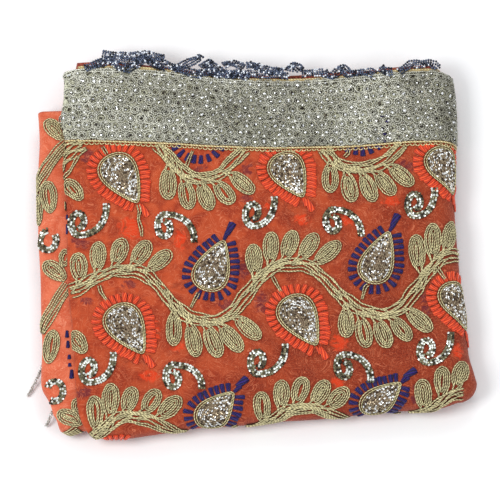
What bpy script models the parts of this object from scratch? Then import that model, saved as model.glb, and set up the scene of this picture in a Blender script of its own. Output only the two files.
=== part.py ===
"""A dupatta of embroidered net, folded into a flat stack.

The long scarf is folded in six along its length and in half across its width, so a stack of
twelve layers lies on the surface. One solid holds the hidden layers. Over it go the top panel,
the next fold that sticks out at the left, the wide stone border with its braid, the raised cord
vine and leaves, the crystal drops, the beaded scrolls and the bead lace along the back edge.

X runs to the right along the border, Y runs back towards the border, Z is up. Tables and sizes
are in millimetres, and MM turns them into metres.
"""

from math import cos, hypot, pi, radians, sin, sqrt

import bmesh
import bpy
from mathutils import Vector

MM = 0.001

# Middle of the whole stack in the tables' coordinates
ORIGIN = (-0.06, -0.94, 0.0)

# Cloth and stack
STACK_HEIGHT = 38.0
CLOTH_THICK = 1.5
GAP = 0.35
LAYER_THICK = 3.2
FRONT_RADIUS = STACK_HEIGHT / 2
SIDE_RADIUS = 20.0
TOP_FOLD_RADIUS = 3.2

# Next fold, which sticks out at the left under the top panel
LEDGE_HEIGHT = 29.6
LEDGE_FRONT_RADIUS = 15.0
LEDGE_FOLD_RADIUS = 8.0
LEDGE_BACK = 142.0
LEDGE_TUCK = 15.0

# Hidden layers: room left under the walls, and rings up to the ledge
CORE_INSET = 3.4
LEDGE_INSET = 3.6
LOWER_LEVELS = 17
UPPER_LEVELS = 5

# Border and braid
BORDER_THICK = 1.8
BRAID_WIDTH = 3.4
BRAID_HIGH = 2.0
BORDER_STEPS = 4
TRIM_TURNS = (75, 50, 20)

# Outlines. FRONT_FOLD: x, y where the top starts to roll down. BACK_EDGE: x, y of the selvage.
FRONT_FOLD = (
    (-156, -187), (-126, -187.5), (-101, -184), (-51, -176), (-11, -173.5), (17, -170),
    (64, -167), (92, -164), (124, -160.5), (149, -158), (174, -157.3), (189, -155), (206, -149),
)
BACK_EDGE = (
    (-193, 168), (-186, 180), (-168, 184.6), (-101, 182.5), (-51, 175), (-11, 171.7),
    (39, 170.6), (79, 172.8), (119, 177), (149, 180.3), (189, 181.4), (203, 178),
)
# x, y of the stone border's front edge.
BORDER_FRONT = (
    (-190, 107.2), (-151, 107), (-111, 105.5), (-75, 103.8), (-51, 101.6), (-21, 100.1),
    (20, 98.9), (60, 99.7), (100, 100.7), (127, 102.8), (149, 104.8), (163, 105.7), (204, 106.4),
    (230, 106.4),
)
# y, x of the outermost line of the top panel's left fold and right fold.
LEFT_SIDE = (
    (-240, -150), (-224, -155), (-217, -159), (-202, -166.5), (-187, -171), (-165, -174),
    (-99, -178), (-48, -183), (41, -185), (80, -187), (104, -185.5), (127, -190.5),
    (150, -188), (180, -187),
)
RIGHT_SIDE = (
    (-149, 226), (-137, 223), (-123, 219), (-109, 217), (-80, 215), (-48, 211), (52, 204.5),
    (60, 206), (135, 206), (168, 204), (186, 201),
)
# y, x of the next fold's outermost line, and x, y of its front fold.
LEDGE_SIDE = (
    (-190, -196), (-178, -198), (-169, -201), (-156, -208), (-143, -209.5), (-100, -209),
    (-46, -211), (-3, -213), (72, -214.5), (110, -213), (148, -216),
)
LEDGE_FRONT = ((-208, -168), (-200, -175), (-190, -182), (-181, -185.4), (-166, -182), (-150, -180))

# Embroidery of the top panel, on the cloth's own coordinates.
VINE_WIDTH = 14.0
VINE_HIGH = 2.7
VINE_STEP = 10.0
LEAF_HIGH = 2.5
LEAF_LENGTH = 30.0
LEAF_WIDTH = 17.0
LEAF_SHARP = -0.18
DROP_HIGH = 3.2
DROP_SHARP = 0.55
SCROLL_WIDTH = 5.0
SCROLL_HIGH = 2.2

# Vines: name, and the crests x, y between which each one swings. The upper ones end VINE_SHORT in
# front of the braid. On the front roll and over the right fold they end at these lengths of cloth.
VINE_SHORT = 7.0
VINE_ON_FRONT = 38.0
VINE_ON_RIGHT = 26.0
VINE_FROM_LEFT = 4.0
VINES = {
    "vine_upper_left": ((-127, 122), (-49, 66), (33, 122)),
    "vine_upper_right": ((36, 122), (107, 75.5), (197, 128)),
    "vine_middle": (
        (-193, -58), (-126, -35), (-44, -88.5), (39, -29), (128, -81), (212, -15), (224, -17),
    ),
    "vine_lower_left": ((-168, -214), (-118, -191), (-52, -216)),
    "vine_lower_middle": ((-6, -208), (52, -181), (118, -206)),
    "vine_lower_right": ((156, -194), (214, -166)),
}

# Leaf fans: vine, side (1 stands up from a crest, -1 hangs from a trough), then the centres.
LEAF_FANS = (
    ("vine_upper_left", -1, ((-83, 57), (-64, 46), (-45, 44.5), (-26.5, 49), (-8.5, 58.5))),
    ("vine_upper_right", -1, ((79.5, 64), (99, 53.5), (118, 53.5), (135, 59), (152, 67))),
    ("vine_middle", 1, ((-172, -30), (-153, -18), (-132, -14), (-110, -16), (-91, -24))),
    ("vine_middle", 1, ((3, -21), (20, -8.5), (39, -6.5), (58, -8.5), (78, -15))),
    ("vine_middle", 1, ((166, -10.5), (182, 2), (200, 6))),
    ("vine_middle", -1, ((-77, -101), (-57, -113), (-37, -114), (-18, -110), (-1, -98))),
    ("vine_middle", -1, ((95, -92.5), (113, -103.5), (132, -104.5), (150, -98), (169, -89.5))),
    ("vine_lower_left", 1, ((-155, -184.5), (-139.5, -170.6), (-120.5, -173.5), (-99, -175), (-81, -181.5))),
    ("vine_lower_middle", 1, ((11, -179), (30, -167), (49, -164), (69, -166), (86, -172))),
    ("vine_lower_right", 1, ((171, -166), (190, -153), (208, -146))),
)
LEAF_LEANS = {1: (-4, 2, 16, 30, 46), -1: (0, 10, 20, 36, 46)}

# Crystal drops: centre x, y, the way the tip points in degrees from +Y towards +X, length, width.
DROPS = (
    ("drop_orange_1", -128.5, 64.5, 150, 60, 36), ("drop_orange_2", 39.6, 67.5, 152, 54, 34),
    ("drop_orange_3", 195.5, 75, 157, 52, 33), ("drop_orange_4", -122.3, -98.5, 150, 60, 36),
    ("drop_orange_5", 50.5, -89, 150, 60, 36), ("drop_orange_6", 207, -71, 158, 52, 33),
    ("drop_navy_1", -37, -29.5, 20, 58, 34), ("drop_navy_2", 128, -21, 20, 60, 32),
    ("drop_navy_3", -34, -184, 42, 50, 31), ("drop_navy_4", 130, -171.5, 50, 50, 28),
)

# Scrolls: centre of the coil x, y, the end of the tail x, y, and 1 for a tail that rises.
SCROLLS = (
    ("scroll_1", -172.5, 15, -145, 37.5, 1), ("scroll_2", 2, 24.5, 23.5, 45, 1),
    ("scroll_3", 164.5, 36, 184, 55, 1), ("scroll_4", -161, -143, -137, -123, 1),
    ("scroll_5", 7, -134, 34, -112, 1), ("scroll_6", 175.5, -122, 199, -100, 1),
    ("scroll_7", -86, 14, -57, -5, -1), ("scroll_8", 82.5, 18.5, 110, 1, -1),
    ("scroll_9", -77, -148.5, -49, -163, -1), ("scroll_10", 93, -137, 119, -155, -1),
)

# Bead lace: each string leaves the backing at x0, comes back at x1 and stands out by its reach.
LACE_STRINGS = (
    (-167, -148, 9), (-156, -96, 21), (-140, -112, 11), (-108, -86, 13), (-80, -56, 11),
    (-60, -46, 22), (-48, -30, 12), (-29, -6, 13), (-6, 12, 12), (10, 36, 9), (38, 54, 14),
    (52, 78, 8), (76, 96, 13), (94, 124, 6), (130, 146, 8), (147, 190, 14),
)
LACE_BEAD = 2.6
LACE_STRIP = 3.0
LACE_ROOT = 1.8

# Bits of the layers below that show past the selvage: middle x, half width, reach.
BACK_PEEKS = (
    (-151, 12, 12), (-103, 12, 8), (-80, 16, 9), (-35, 10, 10), (-16, 9, 4), (0, 8, 4),
    (23, 14, 5), (52, 24, 5), (102, 22, 5), (168, 12, 4), (193, 8, 4),
)

# Loose bead strands at the lower left: name, then points x, y, z from the knot to the free end.
LOOSE_STRANDS = (
    ("bead_strand_left", ((-207.7, -123, 12), (-210, -132, 10), (-216, -144, 5), (-224, -157, 1.9))),
    ("bead_strand_front", ((-199.5, -181, 11), (-202, -185, 6.5), (-205, -189, 1.9))),
)
STRAND_WIDTH = 3.0
KNOT_SIZE = 3.6

# Colour, roughness and metallic value of each finish
FINISHES = {
    "net": ((0.62, 0.16, 0.07), 0.8, 0.0),
    "under_net": ((0.66, 0.20, 0.10), 0.85, 0.0),
    "stone_border": ((0.50, 0.49, 0.38), 0.45, 0.4),
    "zari_cord": ((0.50, 0.42, 0.22), 0.5, 0.6),
    "crystal": ((0.42, 0.40, 0.36), 0.2, 0.3),
    "steel_bead": ((0.34, 0.37, 0.42), 0.3, 0.6),
}


def clear_scene():
    """Remove the objects that a new file opens with."""
    for thing in list(bpy.data.objects):
        bpy.data.objects.remove(thing)


def finish(name):
    """Material of one finish."""
    if name in bpy.data.materials:
        return bpy.data.materials[name]
    colour, roughness, metallic = FINISHES[name]
    material = bpy.data.materials.new(name)
    material.use_nodes = True
    shader = material.node_tree.nodes["Principled BSDF"]
    shader.inputs["Base Color"].default_value = (*colour, 1.0)
    shader.inputs["Roughness"].default_value = roughness
    shader.inputs["Metallic"].default_value = metallic
    return material


def read_table(table, at):
    """Smooth curve through a table's two columns, level beyond its ends."""
    if at <= table[0][0]:
        return table[0][1]
    if at >= table[-1][0]:
        return table[-1][1]
    slopes = []
    for row in range(len(table)):
        before = table[max(row - 1, 0)]
        after = table[min(row + 1, len(table) - 1)]
        slopes.append((after[1] - before[1]) / (after[0] - before[0]))
    row = max(i for i in range(len(table) - 1) if table[i][0] <= at)
    (x0, y0), (x1, y1) = table[row], table[row + 1]
    run = x1 - x0
    t = (at - x0) / run
    rise = t * t * (3 - 2 * t)
    start = t * (1 - t) ** 2 * slopes[row] * run
    end = t * t * (t - 1) * slopes[row + 1] * run
    return y0 + (y1 - y0) * rise + start + end


def ease(low, high, at):
    """0 below low, 1 above high, and a soft rise between."""
    t = min(max((at - low) / (high - low), 0.0), 1.0)
    return t * t * (3 - 2 * t)


def round_edge(past_x, past_y, radius):
    """Way out and drop of cloth that has run past the lines where a rounded edge starts."""
    turn = max(past_x, past_y) / radius
    length = hypot(past_x, past_y)
    if length == 0:
        return 0.0, 0.0, 0.0
    out = radius * sin(turn)
    return out * past_x / length, -out * past_y / length, -radius * (1 - cos(turn))


def left_line(y):
    """Where the top panel starts to turn over its left fold."""
    return read_table(LEFT_SIDE, y) + TOP_FOLD_RADIUS


def right_line(y):
    """Where the top panel starts to round down at the right."""
    return read_table(RIGHT_SIDE, y) - SIDE_RADIUS


def ledge_line(y):
    """Where the next fold starts to turn under."""
    return read_table(LEDGE_SIDE, y) + LEDGE_FOLD_RADIUS


def tuck_line(y):
    """How far the next fold's wall goes in under the top panel."""
    return left_line(max(y, FRONT_FOLD[0][1])) + LEDGE_TUCK


def waves(x, y):
    """Gentle rise and fall of the top of the stack."""
    swell = 0.9 * sin(x / 61 + 0.6) * cos(y / 74 - 0.4) + 0.5 * sin((x + 0.7 * y) / 33)
    back_droop = 0.6 * ease(150, 186, y)
    return swell - back_droop - 0.8


def panel_base(x, y):
    """Outer face of the top panel at its cloth coordinates."""
    left = left_line(y)
    right = right_line(y)
    front = read_table(FRONT_FOLD, x)
    flat_x = min(max(x, left), right)
    flat_y = max(y, front)
    out_x, out_y, drop = round_edge(max(x - right, 0), max(front - y, 0), FRONT_RADIUS)
    level = ease(0, 1, 1 + drop / FRONT_RADIUS)
    return Vector((flat_x + out_x, flat_y + out_y, STACK_HEIGHT + drop + waves(flat_x, flat_y) * level))


def ledge_base(x, y):
    """Outer face of the next fold at its cloth coordinates."""
    flat_x = max(x, ledge_line(y))
    front = read_table(LEDGE_FRONT, x)
    out_x, out_y, drop = round_edge(0, max(front - y, 0), LEDGE_FRONT_RADIUS)
    slope = 0.05 * (flat_x + 175)
    return Vector((flat_x, max(y, front) + out_y, LEDGE_HEIGHT + drop + min(slope, 0)))


def surface_frame(base, x, y):
    """Point, sideways tangent and outward normal of a surface."""
    step = 0.5
    point = base(x, y)
    across = base(x + step, y) - base(x - step, y)
    along = base(x, y + step) - base(x, y - step)
    normal = across.cross(along).normalized()
    return point, across.normalized(), normal


def folded_point(base, line, radius, x, y, lift):
    """Point of a surface whose left side turns under with its own small radius."""
    start = line(y)
    inside = max(x, start + 1.0)
    point, across, normal = surface_frame(base, inside, y)
    if x >= start + 1.0:
        return point + normal * lift
    past = start + 1.0 - x
    straight = min(past, 1.0)
    turn = (past - straight) / radius
    centre = point - across * straight - normal * radius
    outward = normal * cos(turn) - across * sin(turn)
    return centre + outward * (radius + lift)


def panel_point(x, y, lift=0.0):
    """Point at a height over the top panel."""
    return folded_point(panel_base, left_line, TOP_FOLD_RADIUS, x, y, lift)


def ledge_point(x, y, lift=0.0):
    """Point at a height over the next fold."""
    return folded_point(ledge_base, ledge_line, LEDGE_FOLD_RADIUS, x, y, lift)


def add_object(name, shape, material):
    """Turn a bmesh in millimetres into a named object in metres."""
    bmesh.ops.translate(shape, vec=-Vector(ORIGIN), verts=shape.verts)
    bmesh.ops.scale(shape, vec=(MM, MM, MM), verts=shape.verts)
    bmesh.ops.recalc_face_normals(shape, faces=shape.faces)
    mesh = bpy.data.meshes.new(name)
    shape.to_mesh(mesh)
    shape.free()
    mesh.shade_smooth()
    mesh.set_sharp_from_angle(angle=radians(40))
    mesh.materials.append(finish(material))
    thing = bpy.data.objects.new(name, mesh)
    bpy.context.scene.collection.objects.link(thing)
    return thing


def wall(name, stations, point, outer, inner, material):
    """Closed wall over a grid of cloth coordinates, between two heights over its surface."""
    shape = bmesh.new()
    sheets = []
    for lift in (outer, inner):
        sheets.append([[shape.verts.new(point(x, y, lift)) for x, y in row] for row in stations])
    top, under = sheets
    rows = len(stations)
    columns = len(stations[0])
    for i in range(rows - 1):
        for j in range(columns - 1):
            shape.faces.new((top[i][j], top[i][j + 1], top[i + 1][j + 1], top[i + 1][j]))
            shape.faces.new((under[i][j], under[i + 1][j], under[i + 1][j + 1], under[i][j + 1]))
    rim = [(0, j) for j in range(columns)] + [(i, columns - 1) for i in range(1, rows)]
    rim += [(rows - 1, j) for j in range(columns - 2, -1, -1)] + [(i, 0) for i in range(rows - 2, 0, -1)]
    for (i, j), (k, m) in zip(rim, rim[1:] + rim[:1]):
        shape.faces.new((top[i][j], under[i][j], under[k][m], top[k][m]))
    return add_object(name, shape, material)


def settle(x_at, y_at):
    """Cloth coordinates where a column line and a row line cross."""
    x = y = 0.0
    for _ in range(4):
        x = x_at(y)
        y = y_at(x)
    return x, y


def panel_columns(left_turns=(150, 110, 75, 50, 20)):
    """Column lines of the top panel: over the left fold, across the flat, down the right."""
    columns = []
    for turn in left_turns:
        columns.append(lambda y, t=radians(turn): left_line(y) - TOP_FOLD_RADIUS * t)
    for step in range(1, 17):
        columns.append(lambda y, f=step / 16: left_line(y) + 1.5 + (right_line(y) - left_line(y) - 1.5) * f)
    for turn in (20, 40, 60, 80, 104):
        columns.append(lambda y, t=radians(turn): right_line(y) + SIDE_RADIUS * t)
    return columns


def braid_front(x):
    """Where the braid starts, along the front of the border."""
    return read_table(BORDER_FRONT, x) - GAP - BRAID_WIDTH


def border_row(x, f):
    """Row line of the border: 0 along the braid, 1 along the selvage."""
    return (1 - f) * read_table(BORDER_FRONT, x) + f * read_table(BACK_EDGE, x)


def make_top_panel():
    """Cloth wall of the top layer: it turns under at the left and rounds down at front and right."""
    rows = []
    for turn in (146, 130, 114, 98, 82, 66, 50, 34, 18):
        rows.append(lambda x, t=radians(turn): read_table(FRONT_FOLD, x) - FRONT_RADIUS * t)
    for step in range(11):
        rows.append(lambda x, f=step / 10: (1 - f) * read_table(FRONT_FOLD, x) + f * braid_front(x))
    for step in range(BORDER_STEPS + 1):
        rows.append(lambda x, f=step / BORDER_STEPS: border_row(x, f))
    stations = [[settle(column, row) for column in panel_columns()] for row in rows]
    return wall("top_panel", stations, panel_point, 0.0, -CLOTH_THICK, "net")


def make_ledge():
    """Cloth wall of the next fold, tucked under the top panel."""
    columns = []
    for turn in (115, 90, 65, 40, 15):
        columns.append(lambda y, t=radians(turn): ledge_line(y) - LEDGE_FOLD_RADIUS * t)
    for step in range(4):
        columns.append(lambda y, f=step / 3: (1 - f) * (ledge_line(y) + 1.5) + f * tuck_line(y))
    rows = []
    for turn in (118, 98, 78, 58, 38, 18):
        rows.append(lambda x, t=radians(turn): read_table(LEDGE_FRONT, x) - LEDGE_FRONT_RADIUS * t)
    for step in range(11):
        rows.append(lambda x, f=step / 10: (1 - f) * read_table(LEDGE_FRONT, x) + f * LEDGE_BACK)
    stations = [[settle(column, row) for column in columns] for row in rows]
    return wall("left_fold", stations, ledge_point, 0.0, -CLOTH_THICK, "net")


def make_border():
    """Band of stones and metal thread on the top panel, from its selvage forward."""
    stations = []
    for step in range(BORDER_STEPS + 1):
        row = lambda x, f=step / BORDER_STEPS: border_row(x, f)
        stations.append([settle(column, row) for column in panel_columns(TRIM_TURNS)])
    return wall("stone_border", stations, panel_point, GAP + BORDER_THICK, GAP, "stone_border")


def make_braid():
    """Scalloped metal braid along the border's front edge."""
    stations = []
    for f in (0, 0.5, 1):
        row = lambda x, f=f: braid_front(x) + f * BRAID_WIDTH
        stations.append([settle(column, row) for column in panel_columns(TRIM_TURNS)])
    return wall("braid", stations, panel_point, GAP + BRAID_HIGH, GAP, "zari_cord")


def swing(crests, x):
    """Centre line of a vine: level at each crest, quick between them."""
    if x <= crests[0][0]:
        return crests[0][1]
    for (x0, y0), (x1, y1) in zip(crests, crests[1:]):
        if x <= x1:
            t = (x - x0) / (x1 - x0)
            return y0 + (y1 - y0) * t * t * t * (t * (6 * t - 15) + 10)
    return crests[-1][1]


def add_slab(shape, rings, low, heights):
    """Closed low dome over rings of the panel's coordinates; the last ring is one point."""
    count = len(rings[0])
    under_rings = rings if len(rings) > 3 else [rings[0], rings[-1]]
    tops = []
    for ring, high in zip(rings, heights):
        tops.append([shape.verts.new(panel_point(x, y, high)) for x, y in ring])
    unders = []
    for ring in under_rings:
        unders.append([shape.verts.new(panel_point(x, y, low)) for x, y in ring])
    for k in range(count):
        n = (k + 1) % count
        shape.faces.new((tops[0][k], tops[0][n], unders[0][n], unders[0][k]))
    for sheet in (tops, unders):
        for ring, inner in zip(sheet, sheet[1:]):
            for k in range(count):
                n = (k + 1) % count
                if len(inner) == 1:
                    shape.faces.new((ring[k], ring[n], inner[0]))
                else:
                    shape.faces.new((ring[k], ring[n], inner[n], inner[k]))


def egg(centre, lean, length, width, sharp, scale, count):
    """Outline of a leaf or drop whose tip points along its lean; sharp draws the tip in."""
    points = []
    for k in range(count):
        turn = 2 * pi * k / count
        side = width / 2 * sin(turn) * (1 - sharp * cos(turn)) * scale
        along = length / 2 * cos(turn) * scale
        x = centre[0] + along * sin(lean) + side * cos(lean)
        y = centre[1] + along * cos(lean) - side * sin(lean)
        points.append((x, y))
    return points


def path_ring(path, half_width, across):
    """Rows of cloth coordinates across a path, for a ribbon of even width."""
    rows = []
    for i, (x, y) in enumerate(path):
        x0, y0 = path[max(i - 1, 0)]
        x1, y1 = path[min(i + 1, len(path) - 1)]
        length = hypot(x1 - x0, y1 - y0)
        side_x, side_y = -(y1 - y0) / length, (x1 - x0) / length
        row = []
        for j in range(across):
            offset = half_width * (2 * j / (across - 1) - 1)
            row.append((x + side_x * offset, y + side_y * offset))
        rows.append(row)
    return rows


def even_path(crests, step):
    """Points a set distance apart along a vine, on the part of it that lies on the top panel."""
    path = []
    x = crests[0][0]
    while x < crests[-1][0]:
        y = swing(crests, x)
        on_panel = read_table(FRONT_FOLD, x) - VINE_ON_FRONT < y < braid_front(x) - VINE_SHORT
        on_panel = on_panel and left_line(y) + VINE_FROM_LEFT < x < right_line(y) + VINE_ON_RIGHT
        spacing = step * (0.4 if x > right_line(y) - 5 else 1)
        if on_panel and (not path or hypot(x - path[-1][0], y - path[-1][1]) >= spacing):
            path.append((x, y))
        x += 0.5
    return path


def dome_steps(centre, edge, crown):
    """Ring scales of a low dome and their heights: more rings where the cloth rounds down."""
    x, y = centre
    on_round = y < read_table(FRONT_FOLD, x) + 20 or x > right_line(y) - 18
    scales = (1.0, 0.7, 0.35) if on_round else (1.0, 0.55)
    heights = [edge + (crown - edge) * (1 - scale ** 2) for scale in scales] + [crown]
    return scales, heights, on_round


def root_length(centre, angle, path):
    """Length from a leaf's centre back to where it has grown into its vine."""
    length = LEAF_LENGTH / 2
    while length < 1.2 * LEAF_LENGTH:
        x = centre[0] - sin(angle) * length
        y = centre[1] - cos(angle) * length
        if min(hypot(x - vine_x, y - vine_y) for vine_x, vine_y in path) < VINE_WIDTH / 3:
            break
        length += 0.5
    return length


def make_vines():
    """Each vine of laid cords with the leaves that grow from it, as one raised body."""
    for name, crests in VINES.items():
        on_round = name.startswith("vine_lower")
        base = GAP + (0.35 if on_round else 0)
        low = base + 0.5
        path = even_path(crests, VINE_STEP * (0.6 if on_round else 1))
        rows = path_ring(path, VINE_WIDTH / 2, 5 if on_round else 3)
        vine = wall(name, rows, panel_point, GAP + VINE_HIGH, base, "zari_cord")
        leaves = bmesh.new()
        for fan_name, side, centres in LEAF_FANS:
            if fan_name != name:
                continue
            for centre, lean in zip(centres, LEAF_LEANS[side]):
                angle = radians(lean if side == 1 else 180 - lean)
                root = root_length(centre, angle, path)
                shift = (root - LEAF_LENGTH / 2) / 2
                middle = (centre[0] - sin(angle) * shift, centre[1] - cos(angle) * shift)
                length = LEAF_LENGTH / 2 + root
                scales, heights, rounds = dome_steps(centre, low + 0.7, LEAF_HIGH)
                count = 12 if rounds else 8
                rings = [egg(middle, angle, length, LEAF_WIDTH, LEAF_SHARP, scale, count) for scale in scales]
                rings.append([middle])
                add_slab(leaves, rings, low, heights)
        tool = add_object(name + "_leaves", leaves, "zari_cord")
        tool.hide_render = True
        tool.display_type = "WIRE"
        union = vine.modifiers.new("leaves", "BOOLEAN")
        union.operation = "UNION"
        union.solver = "EXACT"
        union.use_self = True
        union.object = tool


def make_drops():
    """Crystal-filled teardrops, as low domes."""
    for name, x, y, lean, length, width in DROPS:
        shape = bmesh.new()
        low = GAP + (0.8 if y < -150 else 0.2)
        scales, heights, on_round = dome_steps((x, y), low + 0.8, DROP_HIGH)
        count = 16 if on_round else 12
        rings = [egg((x, y), radians(lean), length, width, DROP_SHARP, scale, count) for scale in scales]
        rings.append([(x, y)])
        add_slab(shape, rings, low, heights)
        add_object(name, shape, "crystal")


def scroll_path(x, y, tail_x, tail_y, rise):
    """Coil of one turn and a bit that runs out into a curved tail."""
    start = radians(40 if rise == 1 else -30)
    points = []
    for k in range(11):
        f = k / 10
        turn = start + rise * radians(330) * f
        reach = 3.6 + 6.0 * f
        points.append((x + reach * cos(turn), y + reach * sin(turn)))
    end_x, end_y = points[-1]
    for k in range(1, 4):
        f = k / 3
        bow = 3.0 * sin(pi * f) * rise
        points.append((end_x + (tail_x - end_x) * f + bow, end_y + (tail_y - end_y) * f - bow))
    return points


def make_scrolls():
    """Beaded scrolls, as raised ribbons."""
    for name, x, y, tail_x, tail_y, rise in SCROLLS:
        rows = path_ring(scroll_path(x, y, tail_x, tail_y, rise), SCROLL_WIDTH / 2, 2)
        wall(name, rows, panel_point, GAP + SCROLL_HIGH, GAP, "crystal")


def folded_reach(radius, middle, z):
    """Half width of a fold of this radius at a height."""
    return sqrt(max(radius ** 2 - (z - middle) ** 2, 0))


def layer_groove(z):
    """Depth of the groove between two layers at a height."""
    return 0.9 * (1 - abs(sin(pi * z / (2 * LAYER_THICK))))


def right_reach(z):
    """How far the hidden layers stand out past the right line, under the top panel."""
    rounded = folded_reach(FRONT_RADIUS - CORE_INSET, FRONT_RADIUS, z)
    return max(rounded, 13 * ease(15, 10, z)) - layer_groove(z)


def back_reach(x, z):
    """How far the hidden layers stand out past the selvage of the top panel."""
    step_out = 2 + 12 * ease(32, 20, z) - 4 * ease(10, 0, z)
    peek = 0.0
    for middle, half_width, reach in BACK_PEEKS:
        peek += reach * ease(half_width, 0, abs(x - middle)) * ease(22, 29, z)
    return max(step_out, peek) - layer_groove(z)


def turned(start, end, count):
    """Directions between two compass angles, counted from +X, both ends left out."""
    return [radians(start + (end - start) * k / (count + 1)) for k in range(1, count + 1)]


def spread(low, high, count):
    """Even steps from low to high, both ends kept."""
    return [low + (high - low) * k / (count - 1) for k in range(count)]


def right_and_back(z):
    """Outline points shared by both solids: right side, back right corner and back edge."""
    points = []
    front_y = RIGHT_SIDE[0][0]
    reach = folded_reach(FRONT_RADIUS - CORE_INSET, FRONT_RADIUS, z)
    for angle in turned(-90, 0, 3):
        points.append((right_line(front_y) + reach * cos(angle), front_y + reach * sin(angle)))
    for y in spread(front_y + 8, 170, 9):
        points.append((right_line(y) + right_reach(z), y))
    corner_x = right_line(178)
    for angle in turned(0, 90, 2):
        x = corner_x + right_reach(z) * cos(angle)
        points.append((x, 172 + (back_reach(x, z) + 6) * sin(angle)))
    for x in spread(corner_x, -176, 24):
        points.append((x, read_table(BACK_EDGE, x) + back_reach(x, z)))
    return points


def loft(name, rings, material):
    """Closed solid through flat rings of points, from the lowest to the highest."""
    shape = bmesh.new()
    loops = [[shape.verts.new((x, y, z)) for x, y in ring] for z, ring in rings]
    count = len(loops[0])
    for low, high in zip(loops, loops[1:]):
        for k in range(count):
            n = (k + 1) % count
            shape.faces.new((low[k], low[n], high[n], high[k]))
    shape.faces.new(list(reversed(loops[0])))
    shape.faces.new(loops[-1])
    return add_object(name, shape, material)


def make_core():
    """Hidden layers: flat below, rounded at the folds, grooved at the edges, in two solids."""
    lower = []
    for level in range(LOWER_LEVELS):
        z = level * LAYER_THICK / 2
        front = folded_reach(FRONT_RADIUS - CORE_INSET, FRONT_RADIUS, z)
        ledge = folded_reach(LEDGE_FRONT_RADIUS - LEDGE_INSET, LEDGE_HEIGHT - LEDGE_FRONT_RADIUS, z)
        fold = folded_reach(LEDGE_FOLD_RADIUS - LEDGE_INSET, LEDGE_HEIGHT - LEDGE_FOLD_RADIUS - 1, z)
        left = max(fold, 4 * ease(15, 12, z)) - layer_groove(z)
        ring = []
        for x in spread(-184, -149, 4):
            ring.append((x, read_table(LEDGE_FRONT, x) - ledge))
        for x in spread(-141, 200, 13):
            ring.append((x, read_table(FRONT_FOLD, x) - front))
        ring += right_and_back(z)
        for y in (170, 146):
            ring.append((left_line(y) + 2.5, y))
        for y in spread(LEDGE_BACK - 3, -172, 10):
            ring.append((ledge_line(y) - left, y))
        corner_x, corner_y = ledge_line(-178) + 6, -176
        for angle in turned(180, 270, 3):
            ring.append((corner_x + (left + 3) * cos(angle), corner_y + (ledge + 1.5) * sin(angle)))
        lower.append((z, ring))
    loft("lower_layers", lower, "under_net")
    upper = []
    for level in range(UPPER_LEVELS):
        z = (LOWER_LEVELS - 1 + level) * LAYER_THICK / 2 + GAP
        front = folded_reach(FRONT_RADIUS - CORE_INSET, FRONT_RADIUS, z)
        ring = [(x, read_table(FRONT_FOLD, x) - front) for x in spread(-146, 200, 13)]
        ring += right_and_back(z)
        for y in (170, LEDGE_BACK + 6):
            ring.append((left_line(y) + 2.5, y))
        for y in spread(LEDGE_BACK + 2, -178, 9):
            ring.append((tuck_line(y) + 2, y))
        upper.append((z, ring))
    loft("upper_layers", upper, "under_net")


def add_tube(shape, path, sizes):
    """Three-sided strand along a path, closed at both ends."""
    rings = []
    for i, point in enumerate(path):
        before = path[max(i - 1, 0)]
        after = path[min(i + 1, len(path) - 1)]
        along = (after - before).normalized()
        side = along.cross(Vector((0, 0, 1))).normalized()
        up = side.cross(along).normalized()
        half = sizes[i] / 2
        ring = []
        for turn in (90, 210, 330):
            way = side * cos(radians(turn)) + up * sin(radians(turn))
            ring.append(shape.verts.new(point + way * half))
        rings.append(ring)
    for low, high in zip(rings, rings[1:]):
        for k in range(3):
            n = (k + 1) % 3
            shape.faces.new((low[k], low[n], high[n], high[k]))
    shape.faces.new(list(reversed(rings[0])))
    shape.faces.new(rings[-1])


def lace_point(x, reach):
    """Point of the bead lace: it sags as it stands out from the selvage."""
    point = panel_point(x, read_table(BACK_EDGE, x) + LACE_ROOT, -0.6)
    return point + Vector((0, reach, -0.018 * reach ** 2))


def make_lace():
    """Looped bead strings along the selvage, fused into the narrow strip that carries them."""
    rows = []
    for edge in (GAP, GAP + LACE_STRIP):
        rows.append([(x, read_table(BACK_EDGE, x) + edge) for x in spread(-176, 192, 19)])
    lace = wall("bead_lace", rows, panel_point, 0.3, -1.6, "steel_bead")
    strings = bmesh.new()
    for start, end, reach in LACE_STRINGS:
        path = [lace_point(start + (end - start) * f, reach * sin(pi * f)) for f in spread(0, 1, 6)]
        add_tube(strings, path, [LACE_BEAD] * len(path))
    tool = add_object("bead_lace_strings", strings, "steel_bead")
    tool.hide_render = True
    tool.display_type = "WIRE"
    union = lace.modifiers.new("strings", "BOOLEAN")
    union.operation = "UNION"
    union.solver = "EXACT"
    union.use_self = True
    union.object = tool


def make_loose_strands():
    """Two bead strands that hang out between the folds, each from its own knot."""
    for name, points in LOOSE_STRANDS:
        shape = bmesh.new()
        path = [Vector(point) for point in points]
        path.insert(1, path[0].lerp(path[1], 0.3))
        sizes = [KNOT_SIZE, KNOT_SIZE] + [STRAND_WIDTH] * (len(path) - 2)
        add_tube(shape, path, sizes)
        add_object(name, shape, "steel_bead")


def main():
    clear_scene()
    make_core()
    make_top_panel()
    make_ledge()
    make_border()
    make_braid()
    make_vines()
    make_drops()
    make_scrolls()
    make_lace()
    make_loose_strands()


main()
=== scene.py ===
"""Looks of the folded dupatta, piece by piece over its solids.

Tables are in millimetres on the axes of the part's own drawing: X runs to the right along the
stone border, Y runs back towards it, Z is up. Colours are given as red, green and blue to 255.
"""

from bisect import bisect_right
from math import ceil, cos, hypot, pi, radians, sin, sqrt
from random import Random

import bmesh
import bpy
from mathutils import Matrix, Vector


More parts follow.
